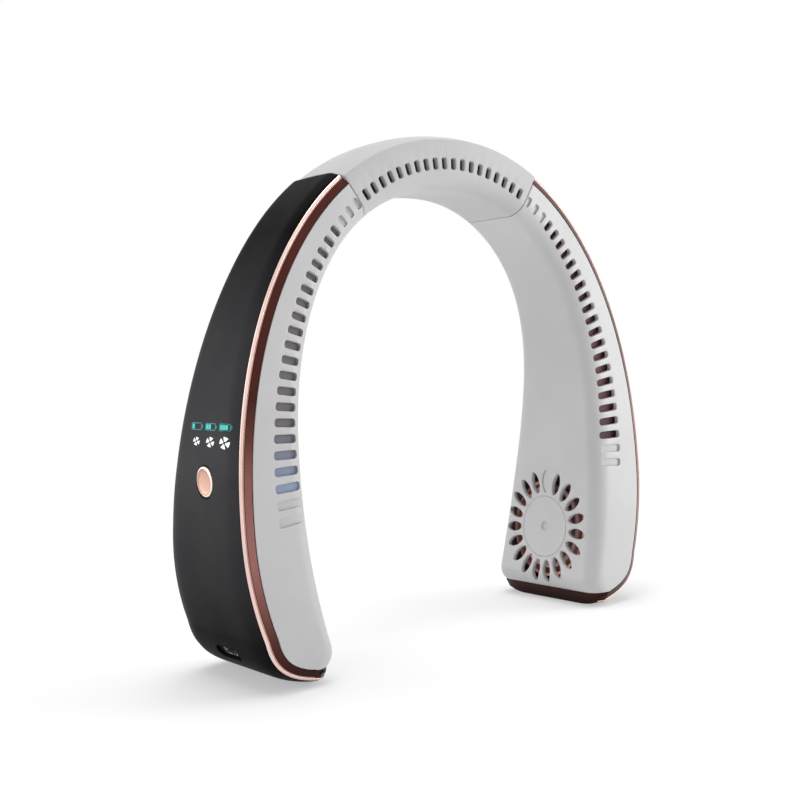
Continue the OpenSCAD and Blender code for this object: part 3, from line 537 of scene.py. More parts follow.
def maths(tree, kind, a, b):
    """One step of arithmetic on a and b, each a socket or a number."""
    node = tree.nodes.new("ShaderNodeMath")
    node.operation = kind
    feed(tree, a, node.inputs[0])
    feed(tree, b, node.inputs[1])
    return node.outputs[0]


def stretch(tree, value, low, high):
    """Maps low..high of a value to 0..1 along a smooth step."""
    node = tree.nodes.new("ShaderNodeMapRange")
    node.interpolation_type = "SMOOTHSTEP"
    tree.links.new(value, node.inputs["Value"])
    node.inputs["From Min"].default_value, node.inputs["From Max"].default_value = low, high
    return node.outputs["Result"]


def mix_colour(tree, kind, factor, a, b):
    """Colour a turned towards b by the factor; each is a socket or a colour."""
    node = tree.nodes.new("ShaderNodeMix")
    node.data_type, node.blend_type = "RGBA", kind
    for socket, value in (("Factor", factor), ("A", a), ("B", b)):
        feed(tree, value, node.inputs[socket])
    return node.outputs["Result"]


print("node groups so far:", len(bpy.data.node_groups))

# %% [markdown]
# Three shader groups hold the effects that several finishes share: a fine spark-eroded
# grain with slow mottling, a rubbed look where hands touch the piece, and brushed lines
# for metal. Each material could have its own copy of these nodes, but a group is written
# once. It gives out only values, and each finish feeds them into its own shader.

# %% Shared effects
SCRATCH_SCALE, SCRATCH_TURN = (1500, 1500, 60), (0.5, 0.3, 0.0)


def new_group(name, inputs, outputs):
    """Empty shader group with the named float inputs and outputs, and the object axes."""
    group = bpy.data.node_groups.new(name, "ShaderNodeTree")
    for socket, value in inputs:
        made = group.interface.new_socket(socket, in_out="INPUT", socket_type="NodeSocketFloat")
        made.default_value = value
    for socket in outputs:
        group.interface.new_socket(socket, in_out="OUTPUT", socket_type="NodeSocketFloat")
    into, out = group.nodes.new("NodeGroupInput"), group.nodes.new("NodeGroupOutput")
    return group, into.outputs, out.inputs, object_axes(group)


grain, given, gives, axes = new_group("moulded grain", [("Fineness", 4000.0), ("Mottle scale", 40.0)],
                                      ["Height", "Mottle"])
grain.links.new(noise(grain, axes, given["Fineness"], 3.0, 0.6), gives["Height"])
mottle = noise(grain, axes, given["Mottle scale"], 4.0, 0.55)
grain.links.new(stretch(grain, mottle, 0.3, 0.7), gives["Mottle"])

rubbed, given, gives, axes = new_group("rubbed by hands", [("Smudge scale", 60.0)],
                                       ["Smudge", "Fine scratch"])
smudge = noise(rubbed, axes, given["Smudge scale"], 5.0, 0.65)
rubbed.links.new(stretch(rubbed, smudge, 0.45, 0.75), gives["Smudge"])
line = rubbed.nodes.new("ShaderNodeMapping")
line.inputs["Scale"].default_value = SCRATCH_SCALE
line.inputs["Rotation"].default_value = SCRATCH_TURN
rubbed.links.new(axes, line.inputs["Vector"])
rubbed.links.new(stretch(rubbed, noise(rubbed, line.outputs[0], 1.0), 0.68, 0.8), gives["Fine scratch"])

brushed, given, gives, axes = new_group("brushed lines", [("Across", 9000.0), ("Along", 120.0)], ["Lines"])
spread = brushed.nodes.new("ShaderNodeCombineXYZ")
for axis, socket in zip("XYZ", ("Across", "Across", "Along")):
    brushed.links.new(given[socket], spread.inputs[axis])
line = brushed.nodes.new("ShaderNodeVectorMath")
line.operation = "MULTIPLY"
brushed.links.new(axes, line.inputs[0])
brushed.links.new(spread.outputs[0], line.inputs[1])
brushed.links.new(noise(brushed, line.outputs[0], 1.0, 2.0, 0.6), gives["Lines"])
print("groups:", [g.name for g in bpy.data.node_groups])

# %% [markdown]
# One recipe makes all the finishes: a colour with a darker and a lighter side, a
# roughness that the smudges raise, and a bump. Writing it once keeps the pieces of one
# family. Numbers that are the same all over go on the shader's own sockets, where the
# export can read them.

# %% The recipe of a finish
LINE_ROUGH = 0.12


def add_group(tree, group, **values):
    """Node that holds a shared effect, with its inputs set by name."""
    node = tree.nodes.new("ShaderNodeGroup")
    node.node_tree = group
    for key, value in values.items():
        node.inputs[key.replace("_", " ")].default_value = value
    return node


def finish(name, colour, dark, rough, smudge=0.06, bump=0.1, height=2e-5, fineness=4000.0,
           mottle=40.0, lines=False, **sockets):
    """Material that mixes dark and colour by the mottle and adds smudges and grain.
    Roughness is rough plus smudge times the smudges plus half of it times the scratches."""
    m = bpy.data.materials.new(name)
    m.use_nodes = True
    tree = m.node_tree
    shader = tree.nodes["Principled BSDF"]
    for key, value in sockets.items():
        shader.inputs[key.replace("_", " ")].default_value = value
    g = add_group(tree, grain, Fineness=fineness, Mottle_scale=mottle)
    r = add_group(tree, rubbed)
    mottled = mix_colour(tree, "MIX", g.outputs["Mottle"], dark, colour)
    tree.links.new(mottled, shader.inputs["Base Color"])
    uneven = maths(tree, "MULTIPLY", r.outputs["Smudge"], smudge)
    scratch = maths(tree, "MULTIPLY", r.outputs["Fine scratch"], smudge / 2)
    total = maths(tree, "ADD", maths(tree, "ADD", uneven, scratch), rough)
    if lines:
        b = add_group(tree, brushed)
        total = maths(tree, "ADD", maths(tree, "MULTIPLY", b.outputs["Lines"], LINE_ROUGH), total)
    tree.links.new(total, shader.inputs["Roughness"])
    relief = tree.nodes.new("ShaderNodeBump")
    relief.inputs["Strength"].default_value, relief.inputs["Distance"].default_value = bump, height
    tree.links.new(g.outputs["Height"], relief.inputs["Height"])
    tree.links.new(relief.outputs["Normal"], shader.inputs["Normal"])
    return m


print("effects that a finish can use:", [g.name for g in (grain, rubbed, brushed)])

# %% [markdown]
# What changes from finish to finish is written as numbers in the call: the light and the
# dark colour, the roughness, then what differs from the recipe's own values. Trim and
# panel stay white here, because they get their colours from ramps of painted shade, sheen
# and highlight in the next cells.

# %% The finishes
shell_grey = finish("shell grey", (0.515, 0.51, 0.512), (0.49, 0.485, 0.488), 0.42, bump=0.25,
                    Specular_IOR_Level=0.4)
silicone = finish("band silicone", (0.475, 0.475, 0.475), (0.45, 0.45, 0.455), 0.55, bump=0.3,
                  fineness=2500.0, Specular_IOR_Level=0.35, Sheen_Weight=0.1, Sheen_Roughness=0.5)
rose = finish("rose trim", (1, 1, 1), (0.88, 0.86, 0.86), 0.2, smudge=0.1, bump=0.05, lines=True,
              Metallic=1.0)
rose_button = finish("rose button", (0.52, 0.31, 0.245), (0.48, 0.28, 0.22), 0.34, bump=0.12,
                     lines=True, Metallic=0.85)
panel_black = finish("panel black", (1.0, 1.0, 1.0), (0.85, 0.87, 0.9), 0.42, smudge=0.1, bump=0.06,
                     Specular_IOR_Level=0.015)
inner_plastic = finish("inner plastic", (0.11, 0.105, 0.11), (0.085, 0.08, 0.085), 0.5, bump=0.3,
                       fineness=1800.0)
volute_pink = finish("copper lacquer", (0.80, 0.40, 0.33), (0.70, 0.31, 0.25), 0.4, Metallic=0.3,
                     lines=True)
fan_grey = finish("impeller grey", (0.80, 0.58, 0.55), (0.70, 0.48, 0.45), 0.45, bump=0.2)
steel = finish("bright steel", (0.62, 0.62, 0.64), (0.5, 0.5, 0.52), 0.22, lines=True, Metallic=1.0)
copper = finish("windings", (0.70, 0.33, 0.16), (0.45, 0.2, 0.1), 0.35, fineness=900.0, bump=0.5,
                Metallic=0.9)
wrap = finish("cell wrap", (0.05, 0.14, 0.36), (0.04, 0.11, 0.30), 0.25, bump=0.1, fineness=600.0,
              height=1e-4)
solder = finish("solder mask", (0.015, 0.11, 0.05), (0.01, 0.08, 0.04), 0.28, fineness=2200.0,
                Coat_Weight=0.4)
clear = finish("light guide", (0.75, 0.86, 0.87), (0.7, 0.82, 0.83), 0.2, bump=0.05)
wire_red = finish("wire red", (0.42, 0.03, 0.025), (0.34, 0.02, 0.02), 0.38)
print("finishes:", len(bpy.data.materials))

# %% [markdown]
# The trim is anodised a deep rose. Its colour carries painted reflection and shade: lighter
# low on the arm, darker at the top and at the toe. Each face of the trim's mesh carries a
# number for one of four colours: painted shade in the joint and the step, plain anodised,
# painted sheen and painted highlight on the edges. A number per face keeps the borders
# sharp, where a texture would blur them.

# %% Trim finish and its painted light
# Face numbers and colours: painted shade, plain anodised, painted sheen, painted highlight
PAINTED_SHADE, ANODISED, PAINTED_SHEEN, PAINTED_HIGHLIGHT = 0.0, 0.33, 0.67, 1.0
OVER_PAINTED_SHADE, OVER_ANODISED, OVER_PAINTED_SHEEN = 0.2, 0.5, 0.8
PAINTED_SHADE_ROSE, PAINTED_SHEEN_ROSE, PAINTED_HIGHLIGHT_ROSE = (0.03, 0.01, 0.008), (0.50, 0.29, 0.25), (0.90, 0.67, 0.61)
ROSE_SHADE_AND_REFLECTION_STOPS = [(0.0, (0.02, 0.008, 0.006)), (1.0, (0.10, 0.030, 0.025)), (0.1, (0.10, 0.036, 0.03)),
              (0.24, (0.34, 0.155, 0.14)), (0.39, (0.27, 0.115, 0.10)), (0.46, (0.14, 0.05, 0.042)),
              (0.53, (0.07, 0.022, 0.018))]


def ramp(tree, value, stops):
    """Colour ramp fed by a socket. Its stops are a place and a colour, both ends first."""
    node = tree.nodes.new("ShaderNodeValToRGB")
    for k, (place_at, colour) in enumerate(stops):
        stop = node.color_ramp.elements[k] if k < 2 else node.color_ramp.elements.new(place_at)
        stop.position, stop.color = place_at, (*colour, 1)
    tree.links.new(value, node.inputs["Fac"])
    return node.outputs["Color"]


def height_share(tree):
    """Height above the floor as a share of the fan's 190 mm."""
    return maths(tree, "DIVIDE", one_axis(tree, "Z"), HEIGHT * MM)


def open_finish(material):
    """Tree, shader and mottled colour of a finish that gets more colours."""
    tree = material.node_tree
    shader = tree.nodes["Principled BSDF"]
    return tree, shader, shader.inputs["Base Color"].links[0].from_socket


def polish_and_painted_light_number(tree):
    """Socket with the number that each face carries: the button's polish, the trim's painted light."""
    node = tree.nodes.new("ShaderNodeAttribute")
    node.attribute_name = "polish_and_painted_light"
    return node.outputs["Fac"]


tree, shader, mottled = open_finish(rose)
# The height ramp paints shade and reflection into the rose; the face numbers paint highlights on the edges and
# shade in the joint and the step
shade = ramp(tree, height_share(tree), ROSE_SHADE_AND_REFLECTION_STOPS)
number = polish_and_painted_light_number(tree)
shade = mix_colour(tree, "MIX", maths(tree, "GREATER_THAN", number, OVER_ANODISED), shade, PAINTED_SHEEN_ROSE)
shade = mix_colour(tree, "MIX", maths(tree, "GREATER_THAN", number, OVER_PAINTED_SHEEN), shade, PAINTED_HIGHLIGHT_ROSE)
shade = mix_colour(tree, "MIX", maths(tree, "GREATER_THAN", number, OVER_PAINTED_SHADE), PAINTED_SHADE_ROSE, shade)
tree.links.new(mix_colour(tree, "MULTIPLY", 1.0, shade, mottled), shader.inputs["Base Color"])
print("stops of the rose:", len(ROSE_SHADE_AND_REFLECTION_STOPS))

# %% [markdown]
# The black of the panel carries a painted sheen: deeper at the top of the arm and at the
# toe than in between. The dust gauze behind the slots is a woven net. The left one turns
# blue towards its lower end, where the cell's blue wrap lies behind it. The right one is
# dark red and darker towards its lower end. Two sine waves stand for its threads, which
# costs less than a mesh of threads and looks the same through a slot, and painted shade
# stands for the dark between them.

# %% Panel and gauze finishes
PAINTED_SHEEN_STOPS = [(0.0, (0.003, 0.003, 0.003)), (1.0, (0.003, 0.003, 0.003)), (0.09, (0.008, 0.008, 0.008)),
               (0.2, (0.033, 0.0325, 0.034)), (0.42, (0.055, 0.0535, 0.0565)),
               (0.64, (0.044, 0.043, 0.045)), (0.82, (0.005, 0.005, 0.005))]
# Thread pitch, share and level, and the painted shade seen between the threads
THREAD_PITCH, THREAD_SHOWS, THREAD_LEVEL, PAINTED_SHADE_BEHIND_NET = 0.00042, 0.12, 0.88, (0.02, 0.02, 0.02)
LOW_END, HIGH_END = 0.36, 0.47

tree, shader, mottled = open_finish(panel_black)
# The height ramp paints a sheen into the black: darker at the top and at the toe
painted_panel_sheen = ramp(tree, height_share(tree), PAINTED_SHEEN_STOPS)
tree.links.new(mix_colour(tree, "MULTIPLY", 1.0, painted_panel_sheen, mottled), shader.inputs["Base Color"])


def thread_wave(tree, axis):
    """Sine of two pi times the place along one axis, by the pitch of the threads."""
    turns = maths(tree, "MULTIPLY", one_axis(tree, axis), 2 * np.pi / THREAD_PITCH)
    return maths(tree, "SINE", turns, 0)


def gauze_finish(name, colour, low_colour):
    """Net of crossing threads, with another tint towards its lower end. The larger of
    two waves is the thread; it turns the painted shade behind the net towards the tint."""
    m = finish(name, (1, 1, 1), (0.9, 0.9, 0.9), 0.6, bump=0.2)
    tree, shader, mottled = open_finish(m)
    stops = [(0.0, low_colour), (1.0, colour), (LOW_END, low_colour), (HIGH_END, colour)]
    tint = ramp(tree, height_share(tree), stops)
    thread = maths(tree, "MAXIMUM", thread_wave(tree, "X"), thread_wave(tree, "Z"))
    light = maths(tree, "ADD", maths(tree, "MULTIPLY", thread, THREAD_SHOWS), THREAD_LEVEL)
    tinted = mix_colour(tree, "MULTIPLY", 1.0, tint, mottled)
    tree.links.new(mix_colour(tree, "MIX", light, PAINTED_SHADE_BEHIND_NET, tinted), shader.inputs["Base Color"])
    return m


gauze_left = gauze_finish("gauze left", (0.19, 0.165, 0.18), (0.33, 0.42, 0.60))
gauze_right = gauze_finish("gauze right", (0.11, 0.03, 0.035), (0.07, 0.018, 0.022))
print("finishes:", len(bpy.data.materials))

# %% [markdown]
# Every piece is dressed in the same two steps: its finish and the body it rides on. A
# piece that bends gets no body here.

# %% Dressing a piece
SIDES = (("left", True, -1), ("right", False, 1))


def dress(piece, material, body=None):
    """Gives a piece its finish, and lets it ride on its body when one is given."""
    piece.data.materials.clear()
    piece.data.materials.append(material)
    if body:
        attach(piece, body)
    return piece


print("sides:", [side for side, _, _ in SIDES])

# %% [markdown]
# ## The arm shells
# Each arm is a moulded grey shell: a flat slotted face, a soft edge, the broad wall that
# lies against the neck, another soft edge and a flat back. The section is drawn as rows
# from the trim line in front to the trim line behind, and the rows are repeated at stations
# along the arm. A box with a bevel could be bent to this form, but the section changes
# all the way, so a grid is exact where a bent box only comes near.

# %% Stations and rows of the shell
# Millimetres in one unit of u at the seam, at the shell's end and at the panel's end
SEAM_LEN, SHELL_END_LEN, PANEL_END_LEN = 194.375, 40, 80
SEAM_GAP, LIP, LEDGE_T, INNER_FOOT = 0.3, 0.3, 1.2, 0.6
ARM = SEAM + SEAM_GAP / SEAM_LEN
ROUND_STEPS = np.array([0, 0.03, 0.09, 0.18, 0.3, 0.8])
ARM_FROM, ARM_STEPS, TOE_FROM = 1.6, 90, 1.02
FACE_ROWS, EDGE_STEPS, WALL_ROWS = 7, 12, 9


def body_stations(stop, steps, round_steps=ROUND_STEPS):
    """Stations down the arm to stop, close together at the seam where the end is round."""
    arm = np.linspace(ARM + ARM_FROM / SEAM_LEN, 1, ARM_STEPS)
    return np.concatenate([ARM + round_steps / SEAM_LEN, arm, np.linspace(TOE_FROM, stop, steps)])


def arm_stations():
    """Stations of the shell, close together at its lower end too."""
    close = SHELL_END - np.array([0.013, 0.008, 0.004, 0.0015, 0])
    return np.concatenate([body_stations(SHELL_END - 0.02, 52), close])


def face_row(u, t, r, k, y):
    """Row of a flat face, at share k of the way from t inside the outer side to r outside
    the neck side."""
    return place((1 - k) * from_outer(u, 0, -t)[:, ::2] + k * from_neck(u, 0, r)[:, ::2], y)


def shell_rows(u, inset, end_fall, foot=0.0):
    """Skin of the shell, inset from the outside: front face, edge, neck wall, edge, back."""
    d, t = depth(u), trim_in(u) + FIT + foot
    r = edge_radius(u)
    e = inset + end_fall
    q = r - e
    turn = quarter_turn(EDGE_STEPS)
    rows = [face_row(u, t, r, k, e) for k in np.linspace(0, 1, FACE_ROWS)]
    rows += [from_neck(u, r - q * np.cos(a), r - q * np.sin(a)) for a in turn[1:]]
    rows += [from_neck(u, r + k * (d - 2 * r), e) for k in np.linspace(0, 1, WALL_ROWS)[1:-1]]
    rows += [from_neck(u, d - r + q * np.cos(a), r - q * np.sin(a)) for a in turn[:0:-1]]
    rows += [face_row(u, t, r, k, d - e) for k in np.linspace(1, 0, FACE_ROWS)]
    return rows


print("stations of the shell:", len(arm_stations()))

# %% [markdown]
# A small radius at both ends of the arm and along the trim draws the dark joint lines of
# the photograph. Behind each line the skin steps down to a ledge that the trim and the
# panel lie on. Each arm is made on its own, the left one as the mirror image.

# %% Arm shells
def arm_shell(name, flip):
    """Shell of one arm before its cuts: outer skin with ledges for the trim, inner skin."""
    u = arm_stations()
    fall = soft(np.minimum((u - ARM) * SEAM_LEN, (SHELL_END - u) * SHELL_END_LEN), LIP)
    d, t = depth(u), trim_in(u) + FIT
    y1, seat = TRIM_T + FIT, PANEL_T + FIT
    outer = shell_rows(u, 0, fall)
    outer[0] = from_outer(u, LIP / 2 + fall, -t)
    outer.insert(1, from_outer(u, fall, -t - LIP / 2))
    outer[-1] = from_outer(u, d - LIP / 2 - fall, -t)
    outer.insert(-1, from_outer(u, d - fall, -t - LIP / 2))
    ledge = [from_outer(u, y1, -seat), from_outer(u, y1, -t)]
    outer = ledge + outer + [from_outer(u, d - y1, -t), from_outer(u, d - y1, -seat)]
    inner = shell_rows(u, WALL, 0 * fall, INNER_FOOT * np.minimum(1, room_at(u) / EDGE_R))
    inner.insert(1, (inner[0] + inner[1]) / 2)
    inner.insert(-1, (inner[-1] + inner[-2]) / 2)
    below = [from_outer(u, y1 + LEDGE_T, -seat), from_outer(u, y1 + LEDGE_T, -t - FIT)]
    inner = below + inner + [from_outer(u, d - y1 - LEDGE_T, -t - FIT),
                             from_outer(u, d - y1 - LEDGE_T, -seat)]
    return strip_shell(name, np.stack(outer, 1), np.stack(inner, 1), flip=flip)


shells = {side: arm_shell(f"{side}_shell", flip) for side, flip, _ in SIDES}
print("shell points:", len(shells["left"].data.vertices))

# %% [markdown]
# ## The intake grille
# Nineteen pointed petals stand in a ring round the blower's axis. The wall is slightly
# curved there, so each point of a cutter first looks up the wall's height under it, and
# the soft edge is the same all round a petal. For this the blower gets axes of its own:
# down the arm, back, and out of the wall.

# %% Axes of the blower
FAN_RISE, FAN_BACK = 0.477, 0.51
FAN_Z, FAN_Y = FOOT_Z + FAN_RISE * TIP_DEPTH, FRONT_Y + FAN_BACK * TIP_DEPTH
neck_line = inner_at(np.linspace(0.6, 1.5, 400))
FAN_X = np.interp(-FAN_Z, -neck_line[:, 1], neck_line[:, 0])
x_up, x_down = np.interp([-FAN_Z - EDGE_R, -FAN_Z + EDGE_R], -neck_line[:, 1], neck_line[:, 0])
TILT = np.arctan2(x_up - x_down, 2 * EDGE_R)
axis_out = np.array([np.cos(TILT), 0, -np.sin(TILT)])
axis_down = np.array([-np.sin(TILT), 0, -np.cos(TILT)])
local = np.stack([(neck_line[:, 0] - FAN_X), (neck_line[:, 1] - FAN_Z)], -1)
wall_down, wall_out = local @ axis_down[::2], local @ axis_out[::2]


def blower_points(x, y, deep):
    """Points by the blower's own axes: x down the arm, y back, depth below the wall."""
    out = deep + np.interp(x, wall_down, wall_out)
    return (np.array([FAN_X, FAN_Y, FAN_Z]) + x[..., None] * axis_down + y[..., None] * [0, 1, 0]
            + out[..., None] * axis_out)


print("blower at", round(FAN_X, 1), FAN_Y, round(FAN_Z, 1), "tilted", round(np.degrees(TILT), 1))

# %% [markdown]
# The top petal is only a shallow mark, and so are the disc's outline and the dimple in
# the middle. All petals of an arm are one cutter, as the slots are.

# %% Grille cutters
PETALS, PETAL_L, PETAL_W, PETAL_R, PETAL_EDGE = 19, 9.4, 4.0, 18.9, 0.4
TIP_GROWS, LEAF_POWER, LEAF_BLUNT, MARK_DEEP = 2.2, 0.65, 0.04, 0.6
GROOVE_R, GROOVE_HALF, TURN_STEPS, GROOVE_STEPS = 12.8, 0.22, 96, 8
DIMPLE_R, DIMPLE_DEEP = [2.3, 2.3, 2.05, 1.85, 1.7, 1.3], [-1.0, 0.0, 0.06, 0.22, 0.5, 0.75]


def leaf(l, w, n=16):
    """Petal outline: its half width falls off as (1 - k squared) to the power 0.65, where
    k runs from -1 to 1, and the tips are 0.04 mm blunt."""
    k = np.sin(np.radians(np.linspace(-90, 90, n)))
    side = np.stack([k * l / 2, w / 2 * (1 - k * k) ** LEAF_POWER + LEAF_BLUNT], -1)
    return np.concatenate([side, (side * [1, -1])[::-1]])


def grille_cutter(name, flip):
    """All petals of one arm as separate solids with rounded upper edges: one leaf, moved
    out to the ring and turned by even parts of a full turn."""
    grow, down = rim_steps(PETAL_EDGE, 0, ABOVE_WALL, 3)
    count = np.arange(PETALS)
    turn = np.radians(180 + count * 360 / PETALS)
    rings = np.stack([leaf(PETAL_L + TIP_GROWS * g, PETAL_W + 2 * g) for g in grow])
    x, y = rings[None, ..., 0] + PETAL_R, rings[None, ..., 1]
    c, s = np.cos(turn)[:, None, None], np.sin(turn)[:, None, None]
    level = np.broadcast_to(down[None, :, None], (PETALS, *rings.shape[:2])).copy()
    level[:, -1] = np.where(count == 0, MARK_DEEP, OPEN_DEEP)[:, None]
    points = blower_points(c * x - s * y, s * x + c * y, level)
    return closed_piece(name, points, solid_faces(PETALS, *rings.shape[:2]), flip=flip)


def ring_groove(name, flip):
    """Groove of the disc: a small round section carried once round the axis. Its radius
    is that of the groove plus the half width times the cosine, its depth times the sine."""
    a = np.linspace(0, 2 * np.pi, TURN_STEPS, endpoint=False)[:, None]
    b = np.linspace(0, 2 * np.pi, GROOVE_STEPS, endpoint=False)[None]
    r = GROOVE_R + GROOVE_HALF * np.cos(b)
    points = blower_points(r * np.cos(a), r * np.sin(a), GROOVE_HALF * np.sin(b) + 0 * a)
    faces = quads(TURN_STEPS + 1, GROOVE_STEPS) % (TURN_STEPS * GROOVE_STEPS)
    return closed_piece(name, points, [faces], flip=flip)


def dimple(name, flip, steps=40):
    """Round blind hole on the axis: circles of the listed radii at the listed depths."""
    a = np.linspace(0, 2 * np.pi, steps, endpoint=False)[None]
    r, level = np.array(DIMPLE_R)[:, None], np.array(DIMPLE_DEEP)[:, None] + 0 * a
    points = blower_points(r * np.cos(a), r * np.sin(a), level)
    return closed_piece(name, points, solid_faces(1, len(r), steps), flip=flip)


for side, flip, _ in SIDES:
    shell = shells[side]
    cut(shell, slot_cutters("slots", arm_runs, arm_sizes, flip))
    cut(shell, grille_cutter("petals", flip))
    cut(shell, ring_groove("groove", flip))
    cut(shell, dimple("dimple", flip))
    dress(shell, shell_grey, f"{side}_arm")
    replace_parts(shell, f"{side}_arm_shell")

# %% [markdown]
# ## Dust gauze
# A fine net lies close behind the open slots and keeps hair out of the blower. It is a
# thin strip that follows the slot row, a little wider than the slots at every place. The
# right one lies deeper, so that less light reaches it and its slots look darker.

# %% Gauze strips
GAUZE_T, GAUZE_MARGIN, GAUZE_TOP, GAUZE_END = 0.25, 0.5, 1.8, 2.2
GAUZES = (("left", True, 1.86, gauze_left), ("right", False, 2.7, gauze_right))


def gauze(name, y, flip):
    """Strip along the slot row, from the first open slot to the last: seven rows, from
    minus to plus half the length of a slot and a margin."""
    first_open, last_open = arm_runs[TOP_BLIND], arm_runs[final - END_BLIND]
    runs = np.linspace(first_open - GAUZE_TOP, last_open + GAUZE_END, 60)
    c = row_arc(np.interp(runs, ROW_RUNS, ROW_DEGS))
    t = unit(np.gradient(c, axis=0))
    across = np.stack([-t[:, 1], t[:, 0]], -1)
    half = np.interp(runs, arm_runs, arm_sizes[:, 0]) / 2 + GAUZE_MARGIN
    rows = [c + k * half[:, None] * across for k in np.linspace(-1, 1, 7)]
    skins = [np.stack([place(r, level) for r in rows], 1) for level in (y, y + GAUZE_T)]
    return strip_shell(name, *skins, flip=flip)


for side, flip, y, material in GAUZES:
    dress(gauze(f"{side}_gauze", y, flip), material, f"{side}_arm")
print("gauze strips:", len(GAUZES))

# %% [markdown]
# ## The silicone band
# The band joins the arms and bends beside them, so it is made as two halves that meet at
# the top, one for each arm. Its section is a ring with round corners at the neck side and
# tighter ones outside. The slots sit closer than on the arms.

# %% Band halves
INNER_CORNER, BEND_FROM, BEND_TO, DENSE_LEN = 0.74, 6.2, 0.1, 7
CROWN_POWER, CROWN_ROWS, CORNER_STEPS, NECK_STEPS = 2.6, 27, 5, 9
SEAM_STEPS = np.array([6.4, 5.6, 4.8, 4, 3.2, 2.4, 1.6, 0.9, 0.4, 0.22, 0.1, 0.03, 0])


def band_ring(u, inset, corner, fall):
    """Ring of the band's section, inset all round: top, back, neck side and front. The
    top is the crown times one less the way from its middle to the power CROWN_POWER."""
    d = depth(u)
    e = inset + fall
    ri, q, c = EDGE_R - e, inset + corner, corner - fall
    tight, wide = quarter_turn(CORNER_STEPS), quarter_turn(NECK_STEPS)
    rows = [from_outer(u, q - c * np.cos(a), -q + c * np.sin(a)) for a in tight]
    for k in (1 - np.cos(np.linspace(0, np.pi, CROWN_ROWS)[1:-1])) / 2:
        rise = CROWN * (1 - abs(2 * k - 1) ** CROWN_POWER)
        rows.append(from_outer(u, q + k * (d - 2 * q), rise - e))
    rows += [from_outer(u, d - q + c * np.cos(a), -q + c * np.sin(a)) for a in tight[::-1]]
    rows += [from_neck(u, d - EDGE_R + ri * np.cos(a), EDGE_R - ri * np.sin(a)) for a in wide]
    rows += [from_neck(u, EDGE_R - ri * np.cos(a), EDGE_R - ri * np.sin(a)) for a in wide[::-1]]
    return rows


def band_half(name, flip):
    """One half of the sleeve, from the middle to the seam, with dense stations at the seam."""
    near = SEAM - SEAM_STEPS / SEAM_LEN
    u = np.concatenate([np.linspace(0, SEAM - DENSE_LEN / SEAM_LEN, 44), near])
    fall = soft((SEAM - u) * SEAM_LEN, LIP)
    outer = np.stack(band_ring(u, 0, BAND_EDGE_R, fall), 1)
    inner = np.stack(band_ring(u, SLEEVE_T, INNER_CORNER, 0 * fall), 1)
    half = tube_shell(name, outer, inner, flip=flip)
    return cut(half, slot_cutters("slots", band_runs, [BAND_SLOT] * BAND_SLOTS, flip))


flex_mid = (outer_at(np.array(SEAM)) + inner_at(np.array(SEAM))) / 2
for side, flip, sign in SIDES:
    half = band_half(f"{side}_band_half", flip)
    dress(half, silicone)
    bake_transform(half)
    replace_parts(half, "neck_sleeve")

# %% [markdown]
# ## The trim
# A rose coloured metal frame runs round each black panel: a slanting strip in front, one
# behind, and a toe that the fan stands on. The real one is anodised dark, and both edges
# carry a painted highlight, with a fine step between. A table gives that slope in small
# steps: each has its share of the way to the panel and its lift above the straight line.
# A bevel modifier could cut such a slope too, but not with a step and four colours of
# painted shade, anodising, painted sheen and painted highlight.

# %% Slope of the trim
SLOPE = np.array([(0.05, 0.02), (0.09, 0.03), (0.11, 0.03), (0.3, 0.06), (0.48, 0.06), (0.6, 0.03),
                  (0.61, -0.08), (0.635, -0.08), (0.645, 0.06), (0.7, 0.08), (0.755, 0.08),
                  (0.765, 0.14), (0.83, 0.17), (0.91, 0.14), (0.96, 0.08), (1.0, 0.0)])
TOP_SHARES = np.linspace(0.1, 0.9, 23)
TRIM_LIP, LIFT_SHARE, TRIM_LEDGE = 0.25, 0.7, 0.8
TRIM_JOINT = [(0.3, 0.0), (0.1, 0.02), (0.03, 0.1)]


def slope_row(u, s, lift):
    """Row of the slope: s is the way from the grey shell to the panel, lift the height
    above the straight line between them. Gives how far behind the face and how far out."""
    y = TRIM_T * s - LIFT_SHARE * lift
    w = -trim_in(u) * (1 - s) + bulge(u, TRIM_T) * s + LIFT_SHARE * lift
    return y, w


def trim_stations():
    """Stations of the trim, close together at the seam and round the toe."""
    toe = np.concatenate([[TOE_START, TOE_START + STEP], np.linspace(TOE_START + 0.01, 1.999, 30), [2.0]])
    return np.concatenate([body_stations(TOE_START - 0.01, 52), toe])


print("rows of the slope:", len(SLOPE), "stations:", len(trim_stations()))

# %% [markdown]
# One band covers the whole outer side, with the slope along its front and back. Past the
# end of the shell it reaches the neck side and becomes the toe. A window is taken out of
# it for the panel, because a band with a hole keeps its faces in clean strips.

# %% Trim frames
OFF_GRID, WINDOW_OVER = 0.0013, 4


def toe_corners(u, outer, inner):
    """Rounds the toe as seen from above. At h from the neck side, the quarter circle of the
    shell's edge stands back by r less the root of r squared less (r - h) squared."""
    d, whole = depth(u)[:, None], (u > TOE_START)[:, None]
    neck_x = inner_at(np.array(TOE_START))[0]
    m_out, m_in = [EDGE_R - np.sqrt(EDGE_R ** 2 - (EDGE_R - np.clip(p[..., 0] - neck_x, 0, EDGE_R)) ** 2)
                   for p in (outer, inner)]
    y_out, y_in = outer[..., 1] - FRONT_Y, inner[..., 1] - FRONT_Y
    y_out = np.where(whole, d / 2 + (y_out - d / 2) * (1 - 2 * m_out / d), y_out)
    y_in = np.where(whole, np.clip(y_in, m_in, d - m_in), y_in)
    outer[..., 1], inner[..., 1] = y_out + FRONT_Y, y_in + FRONT_Y
    return outer, inner


